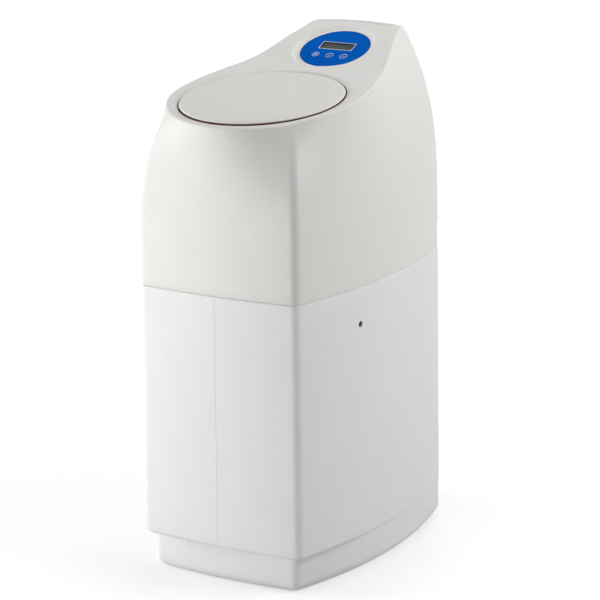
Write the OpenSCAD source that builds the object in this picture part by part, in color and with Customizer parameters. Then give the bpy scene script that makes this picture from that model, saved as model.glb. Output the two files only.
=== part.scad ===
// Cabinet water softener: bowed salt cabinet, domed hood with a salt hatch,
// tilted control panel, resin tank and a motor driven rotary valve.
// Units are millimetres. +Z is up, the front faces -Y, the floor is Z = 0.

/* [Case plan] */
// Width across the two front corners
front_w = 300; // [285:1:315]
// Width across the two back corners
back_w = 240; // [226:1:256]
// Depth from the front corners to the back corners
case_d = 508; // [498:1:540]
// How far the front face bows out
front_bow = 9.4; // [4:0.2:14]
// How far each side bows out
side_bow = 33; // [26:1:40]
// How far the back bows out
back_bow = 8; // [4:0.5:12]
// Setback of the rounding at the front corners
front_corner = 9; // [6:1:20]
// Setback of the rounding at the back corners
back_corner = 18; // [10:1:22]

/* [Cabinet] */
// Height of the plinth
step_h = 60.5; // [56:0.5:66]
// Height of the joint between the cabinet and the hood
seam_h = 483; // [460:1:500]
// Wall thickness of the cabinet
case_wall = 4; // [3.5:0.1:5]
// Thickness of the cabinet floor
floor_t = 5; // [4:0.5:7]
// How far the plinth is set in at the front
plinth_in = 12; // [8:0.5:18]
// How far the plinth is set in at the back
plinth_back = 0; // [0:0.5:4]
// Radius under the plinth
foot_r = 18; // [10:1:24]
// Height of the rounding at the lower edge of the cabinet
edge_h = 10; // [5:0.5:12]
// How much wider the cabinet is at its lower edge on each side
draft = 2; // [0:0.2:3]
// Height of the lip inside the hood
lip_h = 11; // [10:0.5:14]
// Thickness of the lip
lip_t = 2.5; // [2:0.1:3.5]
// Gap between the lip and the hood
lip_gap = 0.4; // [0.3:0.05:0.8]
// Radius of the overflow hole
overflow_r = 5.5; // [4:0.25:8]
// Overflow hole below the joint
overflow_drop = 61.5; // [45:0.5:90]
// Overflow hole behind the front corners
overflow_back = 161.5; // [140:0.5:185]

/* [Hood] */
// Wall thickness of the hood
hood_wall = 3.5; // [3:0.1:4]
// Height at which the walls begin to lean in
shoulder_h = 570; // [540:1:600]
// Height of the hood at its front
rim_h = 758.5; // [750:0.5:770]
// How sharply the walls lean in
lean_power = 2.6; // [2:0.1:3.2]
// Half width of the round rim about the hatch
rim_half_w = 166; // [160:0.5:167]
// Setback of the rim from the bowed front
rim_setback = 8.4; // [6:0.2:10]
// Centre of the round rim behind the front corners
rim_centre = 150; // [146:1:156]
// Half width that the top narrows to
nape_half_w = 73; // [70:1:80]
// Where the top begins to narrow, behind the front corners
taper_start = 150; // [146:1:160]
// Length over which the top narrows
taper_len = 370; // [360:1:380]
// Setback of the top edge from the bowed back
crown_setback = 44; // [36:1:50]
// Slope of the hatch in degrees
lid_a = 10.1; // [9:0.1:10.6]
// Slope of the control panel in degrees
panel_a = 25; // [23:0.5:27]
// Length of the hatch slope
flat_len = 280; // [278:1:286]
// Length of the bend between the two slopes
bend_len = 64; // [56:1:70]
// Length of the panel slope
panel_run = 79; // [75:1:86]
// Radius of the ridge behind the panel
ridge_r = 45; // [40:1:50]
// Fall behind the ridge in degrees
ridge_fall = 20; // [10:1:24]
// Half width of the pipe slot at the back
slot_half_w = 92; // [90:1:93]
// Height of the top of the pipe slot
slot_top = 700; // [690:1:715]
// Corner radius of the pipe slot
slot_r = 18; // [8:1:26]
// Hood screws from the middle
screw_x = 99; // [98:0.5:100.5]
// Shank radius of the hood screws
screw_r = 1.75; // [1.5:0.05:2]
// Head radius of the hood screws
screw_head_r = 4; // [3.5:0.1:4.5]

/* [Salt hatch] */
// Half width of the lid
lid_half_w = 139; // [136:0.5:140]
// Distance from the lid to each end of its slope
lid_end = 12; // [11:0.5:14]
// How far the lid sits in front of the middle of its slope
lid_forward = 2; // [0:0.5:3]
// Gap around the lid
lid_gap = 2; // [2:0.1:2.4]
// Thickness of the lid
lid_t = 3.5; // [3:0.1:4]
// How far the top of the lid lies below the rim around it
lid_sink = 0.6; // [0.4:0.1:1.2]
// Width of the slope around the hatch
cove_w = 6; // [5:0.5:7]
// Hinge line behind the back edge of the lid
hinge_back = 12; // [11:0.25:13]
// Hinge line below the rim around the lid
hinge_drop = 10; // [9.6:0.1:10.4]
// Hinge arms from the middle of the lid
arm_x = 24; // [18:0.5:26]
// Width of the hinge arms
arm_w = 8; // [6:0.5:9]
// Radius of the hinge pins
pin_r = 2; // [1.6:0.1:2.2]
// Running clearance of the hinge pins
pin_clear = 0.06; // [0.03:0.01:0.1]
// Depth of the salt collar below the hood
collar_h = 30; // [22:1:36]
// Wall of the salt collar
collar_t = 3; // [2.5:0.1:4]

/* [Control panel] */
// Half width of the panel plate
panel_half_w = 63; // [60:0.5:65]
// Half length of the panel plate along the slope
panel_half_l = 55; // [54:0.5:57]
// Centre of the panel behind the foot of its slope
panel_up = 17.5; // [16:0.5:20]
// How far the plate is sunk below the hood
panel_sink = 6.5; // [6:0.1:7]
// Thickness of the panel plate
plate_t = 1.5; // [1.2:0.1:2]
// Width of the display window
window_w = 64; // [58:0.5:66]
// Height of the display window
window_h = 21; // [16:0.5:22]
// Display window above the middle of the panel
window_up = 9; // [8.5:0.5:10.5]
// Spacing of the keys
key_pitch = 27; // [22:0.5:29]
// Keys below the middle of the panel
key_down_by = 20; // [19:0.5:21]
// Radius of the keys
key_r = 7.5; // [6.5:0.1:8]
// Gap around the keys
key_gap = 0.3; // [0.3:0.05:0.5]
// Travel of the keys
key_travel = 0.8; // [0.4:0.1:0.8]

/* [Resin tank] */
// Radius of the resin tank
tank_r = 102; // [90:1:103]
// Wall of the resin tank
tank_wall = 3; // [2.5:0.1:4]
// Height of the top of the tank neck
neck_top = 585; // [576:1:590]
// Radius of the tank neck
neck_r = 33; // [31:0.5:33.5]
// Height of the top dome
dome_h = 60; // [50:1:64]
// Height of the bottom dome
base_dome_h = 45; // [38:1:52]
// Height of the resin bed top
bed_top = 400; // [300:1:440]
// Wall of the tank boot
boot_t = 4; // [3:0.2:5]
// Height of the tank boot
boot_h = 70; // [50:1:90]
// Gap between the boot and the back of the cabinet
boot_back_gap = 20; // [18:0.5:24]
// Radius of the riser tube
riser_r = 13.35; // [12:0.05:13.5]

/* [Valve] */
// Radius of the valve body
valve_r = 46; // [45:0.5:47]
// Wall of the valve body around the rotor
valve_wall = 8; // [7:0.25:8.5]
// Pipe centre from the middle
port_x = 32; // [31:0.5:34]
// Outside radius of the pipes
port_r = 12.6; // [12:0.1:13]
// Outside radius of the pipe ends
tail_r = 13.2; // [13.1:0.1:14]
// Inside radius of the pipes
port_bore = 9; // [8:0.25:9.5]
// Length of the pipe ends behind the bypass
pipe_end = 22; // [16:0.5:26]
// Radius of the bypass stem
stem_r = 12.4; // [11.5:0.1:12.8]
// Travel of the bypass stem
stem_travel = 18; // [12:0.5:20]
// Radius of the bypass knobs
knob_r = 11; // [9:0.5:11.5]
// Running clearance of shafts and stems
run_clear = 0.1; // [0.05:0.01:0.1]
// Module of the valve gears
gear_module = 1.25; // [1.15:0.05:1.25]
// Teeth of the drive gear
gear_teeth = 60; // [60]
// Teeth of the motor pinion
pinion_teeth = 12; // [12]
// Radius of the valve motor
motor_r = 25; // [20:0.5:27]
// Height of the valve motor
motor_h = 30; // [20:1:36]
// Radius of the drain spigot
drain_r = 6.5; // [5:0.25:7]
// Length of the drain spigot
drain_len = 30; // [20:1:34]

/* [Brine well] */
// Radius of the brine well
well_r = 44.5; // [42:0.5:46]
// Wall of the brine well
well_t = 2.5; // [2:0.1:2.6]
// Height of the brine well
well_top = 600; // [580:1:610]
// Brine well from the middle
well_x = 90; // [88:0.5:92]
// Brine well in front of the tank
well_gap = 139; // [137:1:150]
// Radius of the float
float_r = 25.6; // [20:0.2:25.8]
// Travel of the float
float_travel = 12; // [6:0.5:14]
// Salt grid above the step inside the cabinet
grid_rise = 1; // [0.5:0.5:4]

/* [Hidden] */
$fn = 72;
tiny = 0.01;
part_gap = 0.3;
y_front = -case_d / 2;
y_back = case_d / 2;

// Rounding of the plan: points in the front, in each corner, along a side and in the back
front_n = 6;
corner_n = 5;
side_n = 16;
back_n = 4;
half_n = front_n + 2 * corner_n + side_n + back_n + 1;
lean_steps = [0.2, 0.36, 0.5, 0.63, 0.75, 0.85, 0.93, 1];

// Top line of the hood
flat_end = y_front + flat_len;
bend_end = flat_end + bend_len;
ridge_start = bend_end + panel_run;
ridge_end = ridge_start + ridge_r * (sin(panel_a) + sin(ridge_fall));
bend_r = bend_len / (sin(panel_a) - sin(lid_a));
flat_end_z = rim_h + flat_len * tan(lid_a);
bend_end_z = flat_end_z + bend_r * (cos(lid_a) - cos(panel_a));
ridge_start_z = bend_end_z + panel_run * tan(panel_a);
ridge_end_z = ridge_start_z + ridge_r * (cos(ridge_fall) - cos(panel_a));
skin_z = hood_wall / cos(lid_a);
rim_centre_y = y_front + rim_centre;
rim_depth = rim_centre + front_bow - rim_setback;
back_pull = (y_back + back_bow - crown_setback - rim_centre_y) / (y_back + back_bow - rim_centre_y);

// Hatch frame
lid_half_l = flat_len / 2 - lid_end;
lid_centre = flat_len / 2 - lid_forward;
lid_y = y_front + lid_centre;
lid_z = rim_h + lid_centre * tan(lid_a);
hinge_y = lid_half_l + hinge_back;
hinge_w = -hinge_drop;
lid_under = -lid_sink - lid_t;
rim_seat = -hood_wall - 0.2;
flange_t = 3.3;
seat_low = rim_seat - flange_t;
flange_top = lid_under - 1.2;
flange_low = flange_top - flange_t;
hub_r = 5;
arm_gap = 0.6;
arm_reach = 29;
arm_low = -25;
arm_t = 6;
ear_t = 4;
ear_r = hub_r + 0.5;
ear_x = arm_x + arm_w / 2 + arm_gap;
seal_t = 1;

// Panel frame
panel_y = bend_end + panel_up;
panel_z = bend_end_z + panel_up * tan(panel_a);
plate_low = -panel_sink - plate_t;
tray_top = -hood_wall - part_gap;
tray_low = plate_low - 2.5;
lcd_t = 8.8;
board_top = tray_low - lcd_t - 0.2;
board_t = 1.6;
key_low = plate_low - 0.1;
switch_h = 3.3;
switch_top = board_top + switch_h;
key_x = [-key_pitch, 0, key_pitch];
post_at = [[48, -2], [-48, -2], [28, -38], [-28, -38]];

// Tank frame
boot_r = tank_r + 1 + boot_t;
tank_y = y_back + back_bow - case_wall - boot_back_gap - boot_r;
base_z = floor_t + 9;
base_centre = base_z + base_dome_h;
dome_z = neck_top - 38 - dome_h * sin(acos(neck_r / tank_r));
strainer_top = base_z + 46;

// Valve levels
body_z = neck_top + 2;
port_z = body_z + 29;
chamber_z = body_z + 51;
rotor_z = chamber_z + 3;
rotor_t = 9;
body_top = body_z + 73;
cover_top = body_top + 12;
gear_z = cover_top + 6;
gear_t = 8;
plate_z = gear_z + gear_t + 4;
motor_z = plate_z + 3;
chamber_r = valve_r - valve_wall;
gear_r = gear_module * gear_teeth / 2;
pinion_r = gear_module * pinion_teeth / 2;
motor_y = -gear_r - pinion_r;
port_end = 80;
bypass_y = y_back + back_bow + knob_r - 1 - tank_y;
bypass_r = stem_r + 6.6;
bypass_half = port_x + 28;
knob_t = 14;
rotor_shaft_r = 8;

// Brine well frame
well_y = tank_y - well_gap;
safety_z = well_top - 45;
safety_r = 14;
outlet_z = safety_z + 20;
pickup_r = 6.35;
pickup_off = well_r - well_t - pickup_r - 2.65;
rod_r = 2;
float_z = 200;
float_h = 50;
grid_t = 4;
grid_h = step_h + edge_h + 5 + grid_rise;

function mix(a, b, t) = a + (b - a) * t;
function ease(t) = let (c = min(1, max(0, t))) c * c * (3 - 2 * c);
function round_over(a, b, c, t) = a * (1 - t) * (1 - t) + b * 2 * t * (1 - t) + c * t * t;
function oval(a, b, n = 72) = [for (i = [0:n - 1]) [a * cos(360 * i / n), b * sin(360 * i / n)]];

// Plan of the case: half front, half back, front line and back line, each set in by d
function case_plan(d) = [front_w / 2 - d, back_w / 2 - d, y_front + d, y_back - d];
function plinth_plan(d) = [front_w / 2 - plinth_in - d, back_w / 2 - plinth_back - d,
    y_front + plinth_in + d, y_back - plinth_back - d];
function front_at(p, t) = [mix(-p[0], p[0], t), p[2] - 4 * front_bow * t * (1 - t)];
function side_at(p, t) = [mix(p[0], p[1], t) + 4 * side_bow * t * (1 - t), mix(p[2], p[3], t)];
function back_at(p, t) = [mix(p[1], -p[1], t), p[3] + 4 * back_bow * t * (1 - t)];

// Right half of the plan, from the middle of the front to the middle of the back
function half_plan(p) = let (
        tf = front_corner / (2 * p[0]),
        sf = front_corner / (p[3] - p[2]),
        sb = back_corner / (p[3] - p[2]),
        tb = back_corner / (2 * p[1]))
    concat(
        [for (i = [0:front_n - 1]) front_at(p, mix(0.5, 1 - tf, i / front_n))],
        [for (i = [0:corner_n - 1])
            round_over(front_at(p, 1 - tf), [p[0], p[2]], side_at(p, sf), i / corner_n)],
        [for (i = [0:side_n - 1]) side_at(p, mix(sf, 1 - sb, i / side_n))],
        [for (i = [0:corner_n - 1])
            round_over(side_at(p, 1 - sb), [p[1], p[3]], back_at(p, tb), i / corner_n)],
        [for (i = [0:back_n]) back_at(p, mix(tb, 0.5, i / back_n))]);

// Right half of a ring moved inward by d
function shrink_half(h, d) = [for (i = [0:half_n - 1]) let (
        before = i > 0 ? h[i - 1] : [-h[1][0], h[1][1]],
        after = i < half_n - 1 ? h[i + 1] : [-h[half_n - 2][0], h[half_n - 2][1]],
        run = after - before,
        out = [run[1], -run[0]] / norm(run))
    [i == 0 || i == half_n - 1 ? 0 : h[i][0] - out[0] * d, h[i][1] - out[1] * d]];

// Whole ring from its right half
function mirror_half(h) = [for (i = [half_n - 2:-1:1]) [-h[i][0], h[i][1]]];
function full_plan(p) = let (h = half_plan(p)) concat(h, mirror_half(h));
function ring_at(h, z) = [for (q = concat(h, mirror_half(h))) [q[0], q[1], z]];
function flat_ring(p, z) = ring_at(half_plan(p), z);

// Top line of the hood at a depth y
function swoop(y) =
    y <= flat_end ? rim_h + (y - y_front) * tan(lid_a) :
    y <= bend_end ? flat_end_z + bend_r * (cos(lid_a)
        - cos(asin(sin(lid_a) + (y - flat_end) / bend_r))) :
    y <= ridge_start ? bend_end_z + (y - bend_end) * tan(panel_a) :
    y <= ridge_end ? ridge_start_z + ridge_r * (cos(asin(sin(panel_a)
        - (y - ridge_start) / ridge_r)) - cos(panel_a)) :
    ridge_end_z - (y - ridge_end) * tan(ridge_fall);

// Half width of the top, and of the case plan, at a depth y
function rim_half(y) = rim_half_w
    - (rim_half_w - nape_half_w) * ease((y - y_front - taper_start) / taper_len);
function case_half(y) = let (t = (y - y_front) / case_d)
    mix(front_w / 2, back_w / 2, t) + 4 * side_bow * t * (1 - t);

// Point on the top edge above a point of the case plan
function rim_at(q) = q[1] < rim_centre_y
    ? let (a = atan2(q[0], rim_centre_y - q[1]))
        [rim_half_w * sin(a), rim_centre_y - rim_depth * cos(a)]
    : let (y = rim_centre_y + (q[1] - rim_centre_y) * back_pull)
        [q[0] * rim_half(y) / case_half(q[1]), y];

// Ring of the hood at a fraction f of the way up from the shoulder, set in by d
function hood_ring(f, d) = let (
        base = half_plan(case_plan(0)),
        top = [for (q = base) rim_at(q)],
        level = [for (i = [0:half_n - 1]) mix(base[i], top[i], pow(f, lean_power))],
        in_level = d > 0 ? shrink_half(level, d) : level,
        in_top = d > 0 ? shrink_half(top, d) : top,
        drop = d > 0 ? skin_z : 0,
        half = [for (i = [0:half_n - 1])
            [in_level[i][0], in_level[i][1], mix(shoulder_h, swoop(in_top[i][1]) - drop, f)]])
    concat(half, [for (i = [half_n - 2:-1:1]) [-half[i][0], half[i][1], half[i][2]]]);

function base_dome(r) = base_centre - base_dome_h * sqrt(1 - pow(r / tank_r, 2));

// Toothed outline with narrow straight teeth
function gear_outline(teeth, m) = let (r = m * teeth / 2, p = 360 / teeth)
    [for (i = [0:teeth - 1], k = [0:3]) let (
            a = p * (i + [-0.33, -0.10, 0.10, 0.33][k]),
            q = k == 0 || k == 3 ? r - 1.2 * m : r + 0.8 * m)
        [q * cos(a), q * sin(a)]];

// Closed skin over a list of rings, each mirrored left to right
module loft(rings) {
    n = len(rings[0]);
    m = len(rings);
    h = n / 2;
    top = (m - 1) * n;
    sides = [for (k = [0:m - 2], i = [0:n - 1], f = [0, 1]) let (j = (i + 1) % n)
        f == 0 ? [k * n + i, (k + 1) * n + i, (k + 1) * n + j]
            : [k * n + i, (k + 1) * n + j, k * n + j]];
    low_cap = concat([[0, 1, n - 1]],
        [for (i = [1:h - 2], f = [0, 1]) f == 0 ? [i, n - i - 1, n - i] : [i, i + 1, n - i - 1]],
        [[h - 1, h, h + 1]]);
    high_cap = [for (t = low_cap) [top + t[0], top + t[2], top + t[1]]];
    polyhedron(points = [for (r = rings) each r], faces = concat(sides, low_cap, high_cap));
}

// Round tube along a path with a given radius
module hose(path, r, sides) {
    n = len(path);
    rings = [for (i = [0:n - 1]) let (
            d = path[min(i + 1, n - 1)] - path[max(i - 1, 0)],
            t = d / norm(d),
            s = cross(t, [0, 0, 1]) / norm(cross(t, [0, 0, 1])),
            u = cross(s, t))
        [for (k = [0:sides - 1]) path[i] + r * (s * cos(360 * k / sides) + u * sin(360 * k / sides))]];
    polyhedron(
        points = [for (g = rings) each g],
        faces = concat(
            [for (i = [0:n - 2], k = [0:sides - 1]) let (j = (k + 1) % sides)
                [i * sides + k, i * sides + j, (i + 1) * sides + j, (i + 1) * sides + k]],
            [[for (k = [sides - 1:-1:0]) k]],
            [[for (k = [0:sides - 1]) (n - 1) * sides + k]]));
}

module on_lid() {
    translate([0, lid_y, lid_z]) rotate([lid_a, 0, 0]) children();
}

module on_panel() {
    translate([0, panel_y, panel_z]) rotate([panel_a, 0, 0]) children();
}

module at_tank() {
    translate([0, tank_y, 0]) children();
}

module at_well() {
    translate([-well_x, well_y, 0]) children();
}

module slab(z0, z1) {
    translate([0, 0, z0]) linear_extrude(z1 - z0) children();
}

module rod(r, z0, z1) {
    translate([0, 0, z0]) cylinder(r = r, h = z1 - z0);
}

module pipe(r, bore, z0, z1) {
    difference() {
        rod(r, z0, z1);
        rod(bore, z0 - 1, z1 + 1);
    }
}

module along_y(y0, y1, r) {
    translate([0, y0, 0]) rotate([-90, 0, 0]) cylinder(r = r, h = y1 - y0);
}

module along_x(x0, x1, r) {
    translate([x0, 0, 0]) rotate([0, 90, 0]) cylinder(r = r, h = x1 - x0);
}

module both_sides() {
    children();
    mirror([1, 0, 0]) children();
}

module cabinet() {
    foot = [for (a = [0, 22.5, 45, 67.5, 90])
        flat_ring(plinth_plan(foot_r * (1 - sin(a))), foot_r * (1 - cos(a)))];
    plinth_half = half_plan(plinth_plan(0));
    body_half = half_plan(case_plan(-draft));
    edge = [for (a = [0, 30, 60, 90])
        ring_at([for (i = [0:half_n - 1]) mix(plinth_half[i], body_half[i], 0.3 + 0.7 * sin(a))],
            step_h + edge_h * (1 - cos(a)))];
    lip_in = hood_wall + lip_gap;
    lip = [flat_ring(case_plan(0), seam_h), flat_ring(case_plan(lip_in), seam_h),
        flat_ring(case_plan(lip_in), seam_h + lip_h),
        flat_ring(case_plan(lip_in + lip_t), seam_h + lip_h),
        flat_ring(case_plan(lip_in + lip_t), seam_h - 8),
        flat_ring(case_plan(case_wall), seam_h - 14)];
    inside = [flat_ring(case_plan(case_wall - draft), step_h + edge_h + 5),
        flat_ring(plinth_plan(case_wall), step_h + case_wall)];
    inner_r = foot_r - case_wall;
    floor_edge = [for (a = [90, 60, 30, 0])
        flat_ring(plinth_plan(case_wall + inner_r * (1 - sin(a))), floor_t + inner_r * (1 - cos(a)))];
    color("whitesmoke") difference() {
        loft(concat(foot, [flat_ring(plinth_plan(0), step_h)], edge, lip, inside, floor_edge));
        translate([0, y_front + overflow_back, seam_h - overflow_drop]) along_x(100, 220, overflow_r);
        for (x = [-screw_x, screw_x])
            translate([x, 0, seam_h + 5]) along_y(y_back - 20, y_back + 20, screw_r + 0.05);
    }
}

module hood() {
    inner = [for (i = [len(lean_steps) - 1:-1:0]) hood_ring(lean_steps[i], hood_wall)];
    outer = [for (f = lean_steps) hood_ring(f, 0)];
    base = half_plan(case_plan(0));
    inner_base = shrink_half(base, hood_wall);
    foot = [ring_at(inner_base, shoulder_h), ring_at(inner_base, seam_h),
        ring_at(base, seam_h), ring_at(base, shoulder_h)];
    reach = panel_half_w + 1;
    color("gainsboro") difference() {
        loft(concat(inner, foot, outer));
        on_lid() slab(-hood_wall - 6, 12) polygon(oval(lid_half_w + lid_gap, lid_half_l + lid_gap, 96));
        on_lid() translate([0, 0, -hood_wall + 0.5])
            linear_extrude(hood_wall + 0.5, scale = 1 + cove_w / lid_half_w)
                polygon(oval(lid_half_w + lid_gap, lid_half_l + lid_gap, 96));
        on_panel() translate([0, 0, -6])
            linear_extrude(10, scale = (panel_half_w + 16) / reach)
                polygon(oval(reach, panel_half_l + 1));
        translate([-slot_half_w, y_back - 40, seam_h - 1])
            cube([2 * slot_half_w, 80, slot_top - slot_r - seam_h + 1]);
        translate([-slot_half_w + slot_r, y_back - 40, slot_top - slot_r - 1])
            cube([2 * (slot_half_w - slot_r), 80, slot_r + 1]);
        both_sides() translate([slot_half_w - slot_r, 0, slot_top - slot_r])
            along_y(y_back - 40, y_back + 40, slot_r);
        for (x = [-screw_x, screw_x])
            translate([x, 0, seam_h + 5]) along_y(y_back - 20, y_back + 20, screw_r + part_gap);
    }
}

module hood_screws() {
    wall_y = y_back + back_bow * (1 - pow((screw_x - screw_head_r) / (back_w / 2), 2)) + 0.1;
    color("silver") both_sides() translate([screw_x, 0, seam_h + 5]) {
        along_y(wall_y - 12, wall_y + tiny, screw_r);
        difference() {
            along_y(wall_y, wall_y + 2.4, screw_head_r);
            for (a = [0, 90])
                translate([0, wall_y + 2, 0]) rotate([0, a, 0])
                    cube([0.9, 2, 4.6], center = true);
        }
    }
}

module arm_slots(low, high) {
    both_sides() translate([arm_x - arm_w / 2 - arm_gap, lid_half_l - 36, low])
        cube([arm_w + 2 * arm_gap, 36 + hinge_back + hub_r + 1.5, high - low]);
}

module hinge_ear() {
    translate([0, hinge_y, hinge_w]) {
        along_x(0, ear_t, ear_r);
        translate([0, -ear_r, 0]) cube([ear_t, 2 * ear_r, seat_low - hinge_w + tiny]);
    }
}

module hatch_collar() {
    plate_half = ear_x + ear_t + 4;
    color("gainsboro") on_lid() difference() {
        union() {
            difference() {
                union() {
                    slab(flange_low, rim_seat) polygon(oval(lid_half_w + 6, lid_half_l + 6, 96));
                    slab(-hood_wall - collar_h, flange_low + tiny)
                        polygon(oval(lid_half_w - 4, lid_half_l - 4, 96));
                }
                slab(-hood_wall - collar_h - 1, 1)
                    polygon(oval(lid_half_w - 4 - collar_t, lid_half_l - 4 - collar_t, 96));
            }
            translate([-plate_half, lid_half_l - 4, seat_low])
                cube([2 * plate_half, hinge_back + ear_r + 10.5, flange_t]);
            both_sides() {
                translate([ear_x, 0, 0]) hinge_ear();
                translate([arm_x - arm_w / 2 - arm_gap - ear_t, 0, 0]) hinge_ear();
            }
        }
        slab(flange_top, 1) polygon(oval(lid_half_w + lid_gap, lid_half_l + lid_gap, 96));
        arm_slots(-hood_wall - collar_h - 2, 1);
        translate([0, hinge_y, hinge_w]) along_x(-60, 60, pin_r + pin_clear);
    }
}

module lid_seal() {
    color("dimgray") on_lid() difference() {
        slab(flange_top, flange_top + seal_t) difference() {
            polygon(oval(lid_half_w - 0.6, lid_half_l - 0.6, 96));
            polygon(oval(lid_half_w - 4, lid_half_l - 4, 96));
        }
        arm_slots(flange_top - 1, 1);
    }
}

module salt_lid() {
    color("whitesmoke") on_lid() difference() {
        union() {
            slab(lid_under, -lid_sink) polygon(oval(lid_half_w, lid_half_l, 96));
            slab(lid_under - 5.5, lid_under + tiny) difference() {
                polygon(oval(lid_half_w - 16, lid_half_l - 16, 96));
                polygon(oval(lid_half_w - 18.5, lid_half_l - 18.5, 96));
            }
            both_sides() translate([arm_x - arm_w / 2, hinge_y, hinge_w]) {
                along_x(0, arm_w, hub_r);
                translate([0, -4.5, arm_low]) cube([arm_w, 9, -arm_low]);
                translate([0, -arm_reach - 8, arm_low]) cube([arm_w, arm_reach + 9, arm_t]);
                translate([0, -arm_reach - 8, arm_low]) cube([arm_w, 8, lid_under - hinge_w - arm_low + tiny]);
            }
        }
        both_sides() translate([arm_x, hinge_y, hinge_w])
            along_x(-arm_w, arm_w, pin_r + 0.02);
    }
}

module lid_hinge_pins() {
    half = arm_w / 2 + arm_gap + ear_t;
    color("silver") on_lid() both_sides() translate([arm_x, hinge_y, hinge_w])
        along_x(-half, half, pin_r);
}

module control_housing() {
    color("dimgray") on_panel() difference() {
        union() {
            slab(tray_low, tray_top) polygon(oval(panel_half_w + 8, panel_half_l + 8));
            slab(board_top - board_t - 8, tray_low + tiny) difference() {
                polygon(oval(panel_half_w + 6, panel_half_l + 6));
                polygon(oval(panel_half_w + 3.5, panel_half_l + 3.5));
            }
            for (p = post_at) translate([p[0], p[1], 0]) rod(3.2, board_top, tray_low + tiny);
        }
        slab(plate_low, 0) polygon(oval(panel_half_w + 0.2, panel_half_l + 0.2));
        slab(-panel_sink - 0.2, 0) polygon(oval(panel_half_w + 6, panel_half_l + 6));
        translate([-window_w / 2 - 1, window_up - window_h / 2 - 1, tray_low - 1])
            cube([window_w + 2, window_h + 2, 8]);
        for (x = key_x) translate([x, -key_down_by, 0]) {
            rod(3.3, tray_low - 1, 0);
            rod(key_r + 0.4, key_low - key_travel - 0.5, 0);
        }
        for (p = post_at) translate([p[0], p[1], 0]) rod(1.15, board_top - 1, tray_low - 0.5);
    }
}

module panel_plate() {
    color("royalblue") on_panel() difference() {
        slab(plate_low, -panel_sink) polygon(oval(panel_half_w, panel_half_l, 96));
        translate([-window_w / 2, window_up - window_h / 2, plate_low - 1])
            cube([window_w, window_h, plate_t + 2]);
        for (x = key_x) translate([x, -key_down_by, 0]) rod(key_r + key_gap, plate_low - 1, 0);
    }
}

module display_window() {
    color("lightgray") on_panel()
        translate([-window_w / 2 - 0.8, window_up - window_h / 2 - 0.8, plate_low - 1.5])
            cube([window_w + 1.6, window_h + 1.6, 1.4]);
}

module lcd_module() {
    color("darkslategray") on_panel() {
        translate([-40, window_up - 18, board_top + 0.1]) cube([80, 36, lcd_t]);
        translate([-window_w / 2 + 0.2, window_up - window_h / 2 + 0.2, tray_low - 0.3])
            cube([window_w - 0.4, window_h - 0.4, 1]);
    }
}

module key_cap(x) {
    color("royalblue") on_panel() translate([x, -key_down_by, 0]) {
        rod(key_r, key_low, -panel_sink + 0.3);
        rod(3, switch_top + key_travel + 0.1, key_low + tiny);
    }
}

module key_menu() {
    key_cap(key_x[0]);
}

module key_down() {
    key_cap(key_x[1]);
}

module key_up() {
    key_cap(key_x[2]);
}

module key_switches() {
    color("black") on_panel() for (x = key_x)
        translate([x - 3, -key_down_by - 3, board_top]) cube([6, 6, switch_h]);
}

module control_board() {
    color("darkgreen") on_panel() difference() {
        slab(board_top - board_t, board_top) polygon(oval(panel_half_w - 1, panel_half_l - 2));
        for (p = post_at) translate([p[0], p[1], 0]) rod(1.4, board_top - 5, board_top + 5);
    }
}

module board_screws() {
    color("silver") on_panel() for (p = post_at) translate([p[0], p[1], 0]) {
        rod(1.1, board_top - board_t - tiny, tray_low - 3);
        rod(2.4, board_top - board_t - 1.8, board_top - board_t);
    }
}

module power_jack() {
    color("black") on_panel() translate([8, panel_half_l - 24, board_top - board_t - 11]) difference() {
        cube([9, 14, 11]);
        translate([4.5, 0, 5.5]) along_y(4, 15, 3.1);
        translate([4.5, 0, 5.5]) along_y(13, 15, 3.6);
    }
}

module tank_boot() {
    color("black") at_tank() rotate_extrude() polygon([
        [50, floor_t], [boot_r, floor_t], [boot_r, floor_t + boot_h],
        [boot_r - boot_t, floor_t + boot_h], [boot_r - boot_t, floor_t + 4],
        [64, floor_t + 4], [64, base_dome(64) - part_gap],
        [58, base_dome(58) - part_gap], [52, base_dome(52) - part_gap], [50, base_dome(50) - part_gap]]);
}

module resin_tank() {
    a_out = acos(neck_r / tank_r);
    in_r = tank_r - tank_wall;
    in_neck = neck_r - tank_wall;
    a_in = acos(in_neck / in_r);
    low_out = [for (i = [0:12]) let (a = 90 * i / 12)
        [tank_r * sin(a), base_centre - base_dome_h * cos(a)]];
    high_out = [for (i = [0:10]) let (a = a_out * i / 10) [tank_r * cos(a), dome_z + dome_h * sin(a)]];
    high_in = [for (i = [10:-1:0]) let (a = a_in * i / 10)
        [in_r * cos(a), dome_z + (dome_h - tank_wall) * sin(a)]];
    low_in = [for (i = [12:-1:0]) let (a = 90 * i / 12)
        [in_r * sin(a), base_centre - (base_dome_h - tank_wall) * cos(a)]];
    color("lightsteelblue") at_tank() rotate_extrude()
        polygon(concat(low_out, high_out, [[neck_r, neck_top], [in_neck, neck_top]], high_in, low_in));
}

module resin_bed() {
    r = tank_r - tank_wall - 0.6;
    h = base_dome_h - tank_wall - 0.6;
    hole = 26.5;
    a0 = asin(hole / r);
    dome = [for (i = [0:10]) let (a = mix(a0, 90, i / 10)) [r * sin(a), base_centre - h * cos(a)]];
    color("peru") at_tank() rotate_extrude()
        polygon(concat([[hole, strainer_top + 1], [riser_r + 0.6, strainer_top + 1],
            [riser_r + 0.6, bed_top], [r, bed_top]], [for (i = [10:-1:0]) dome[i]]));
}

module riser_tube() {
    color("white") at_tank() pipe(riser_r, riser_r - 1.9, strainer_top - 12, body_z + 14);
}

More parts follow.
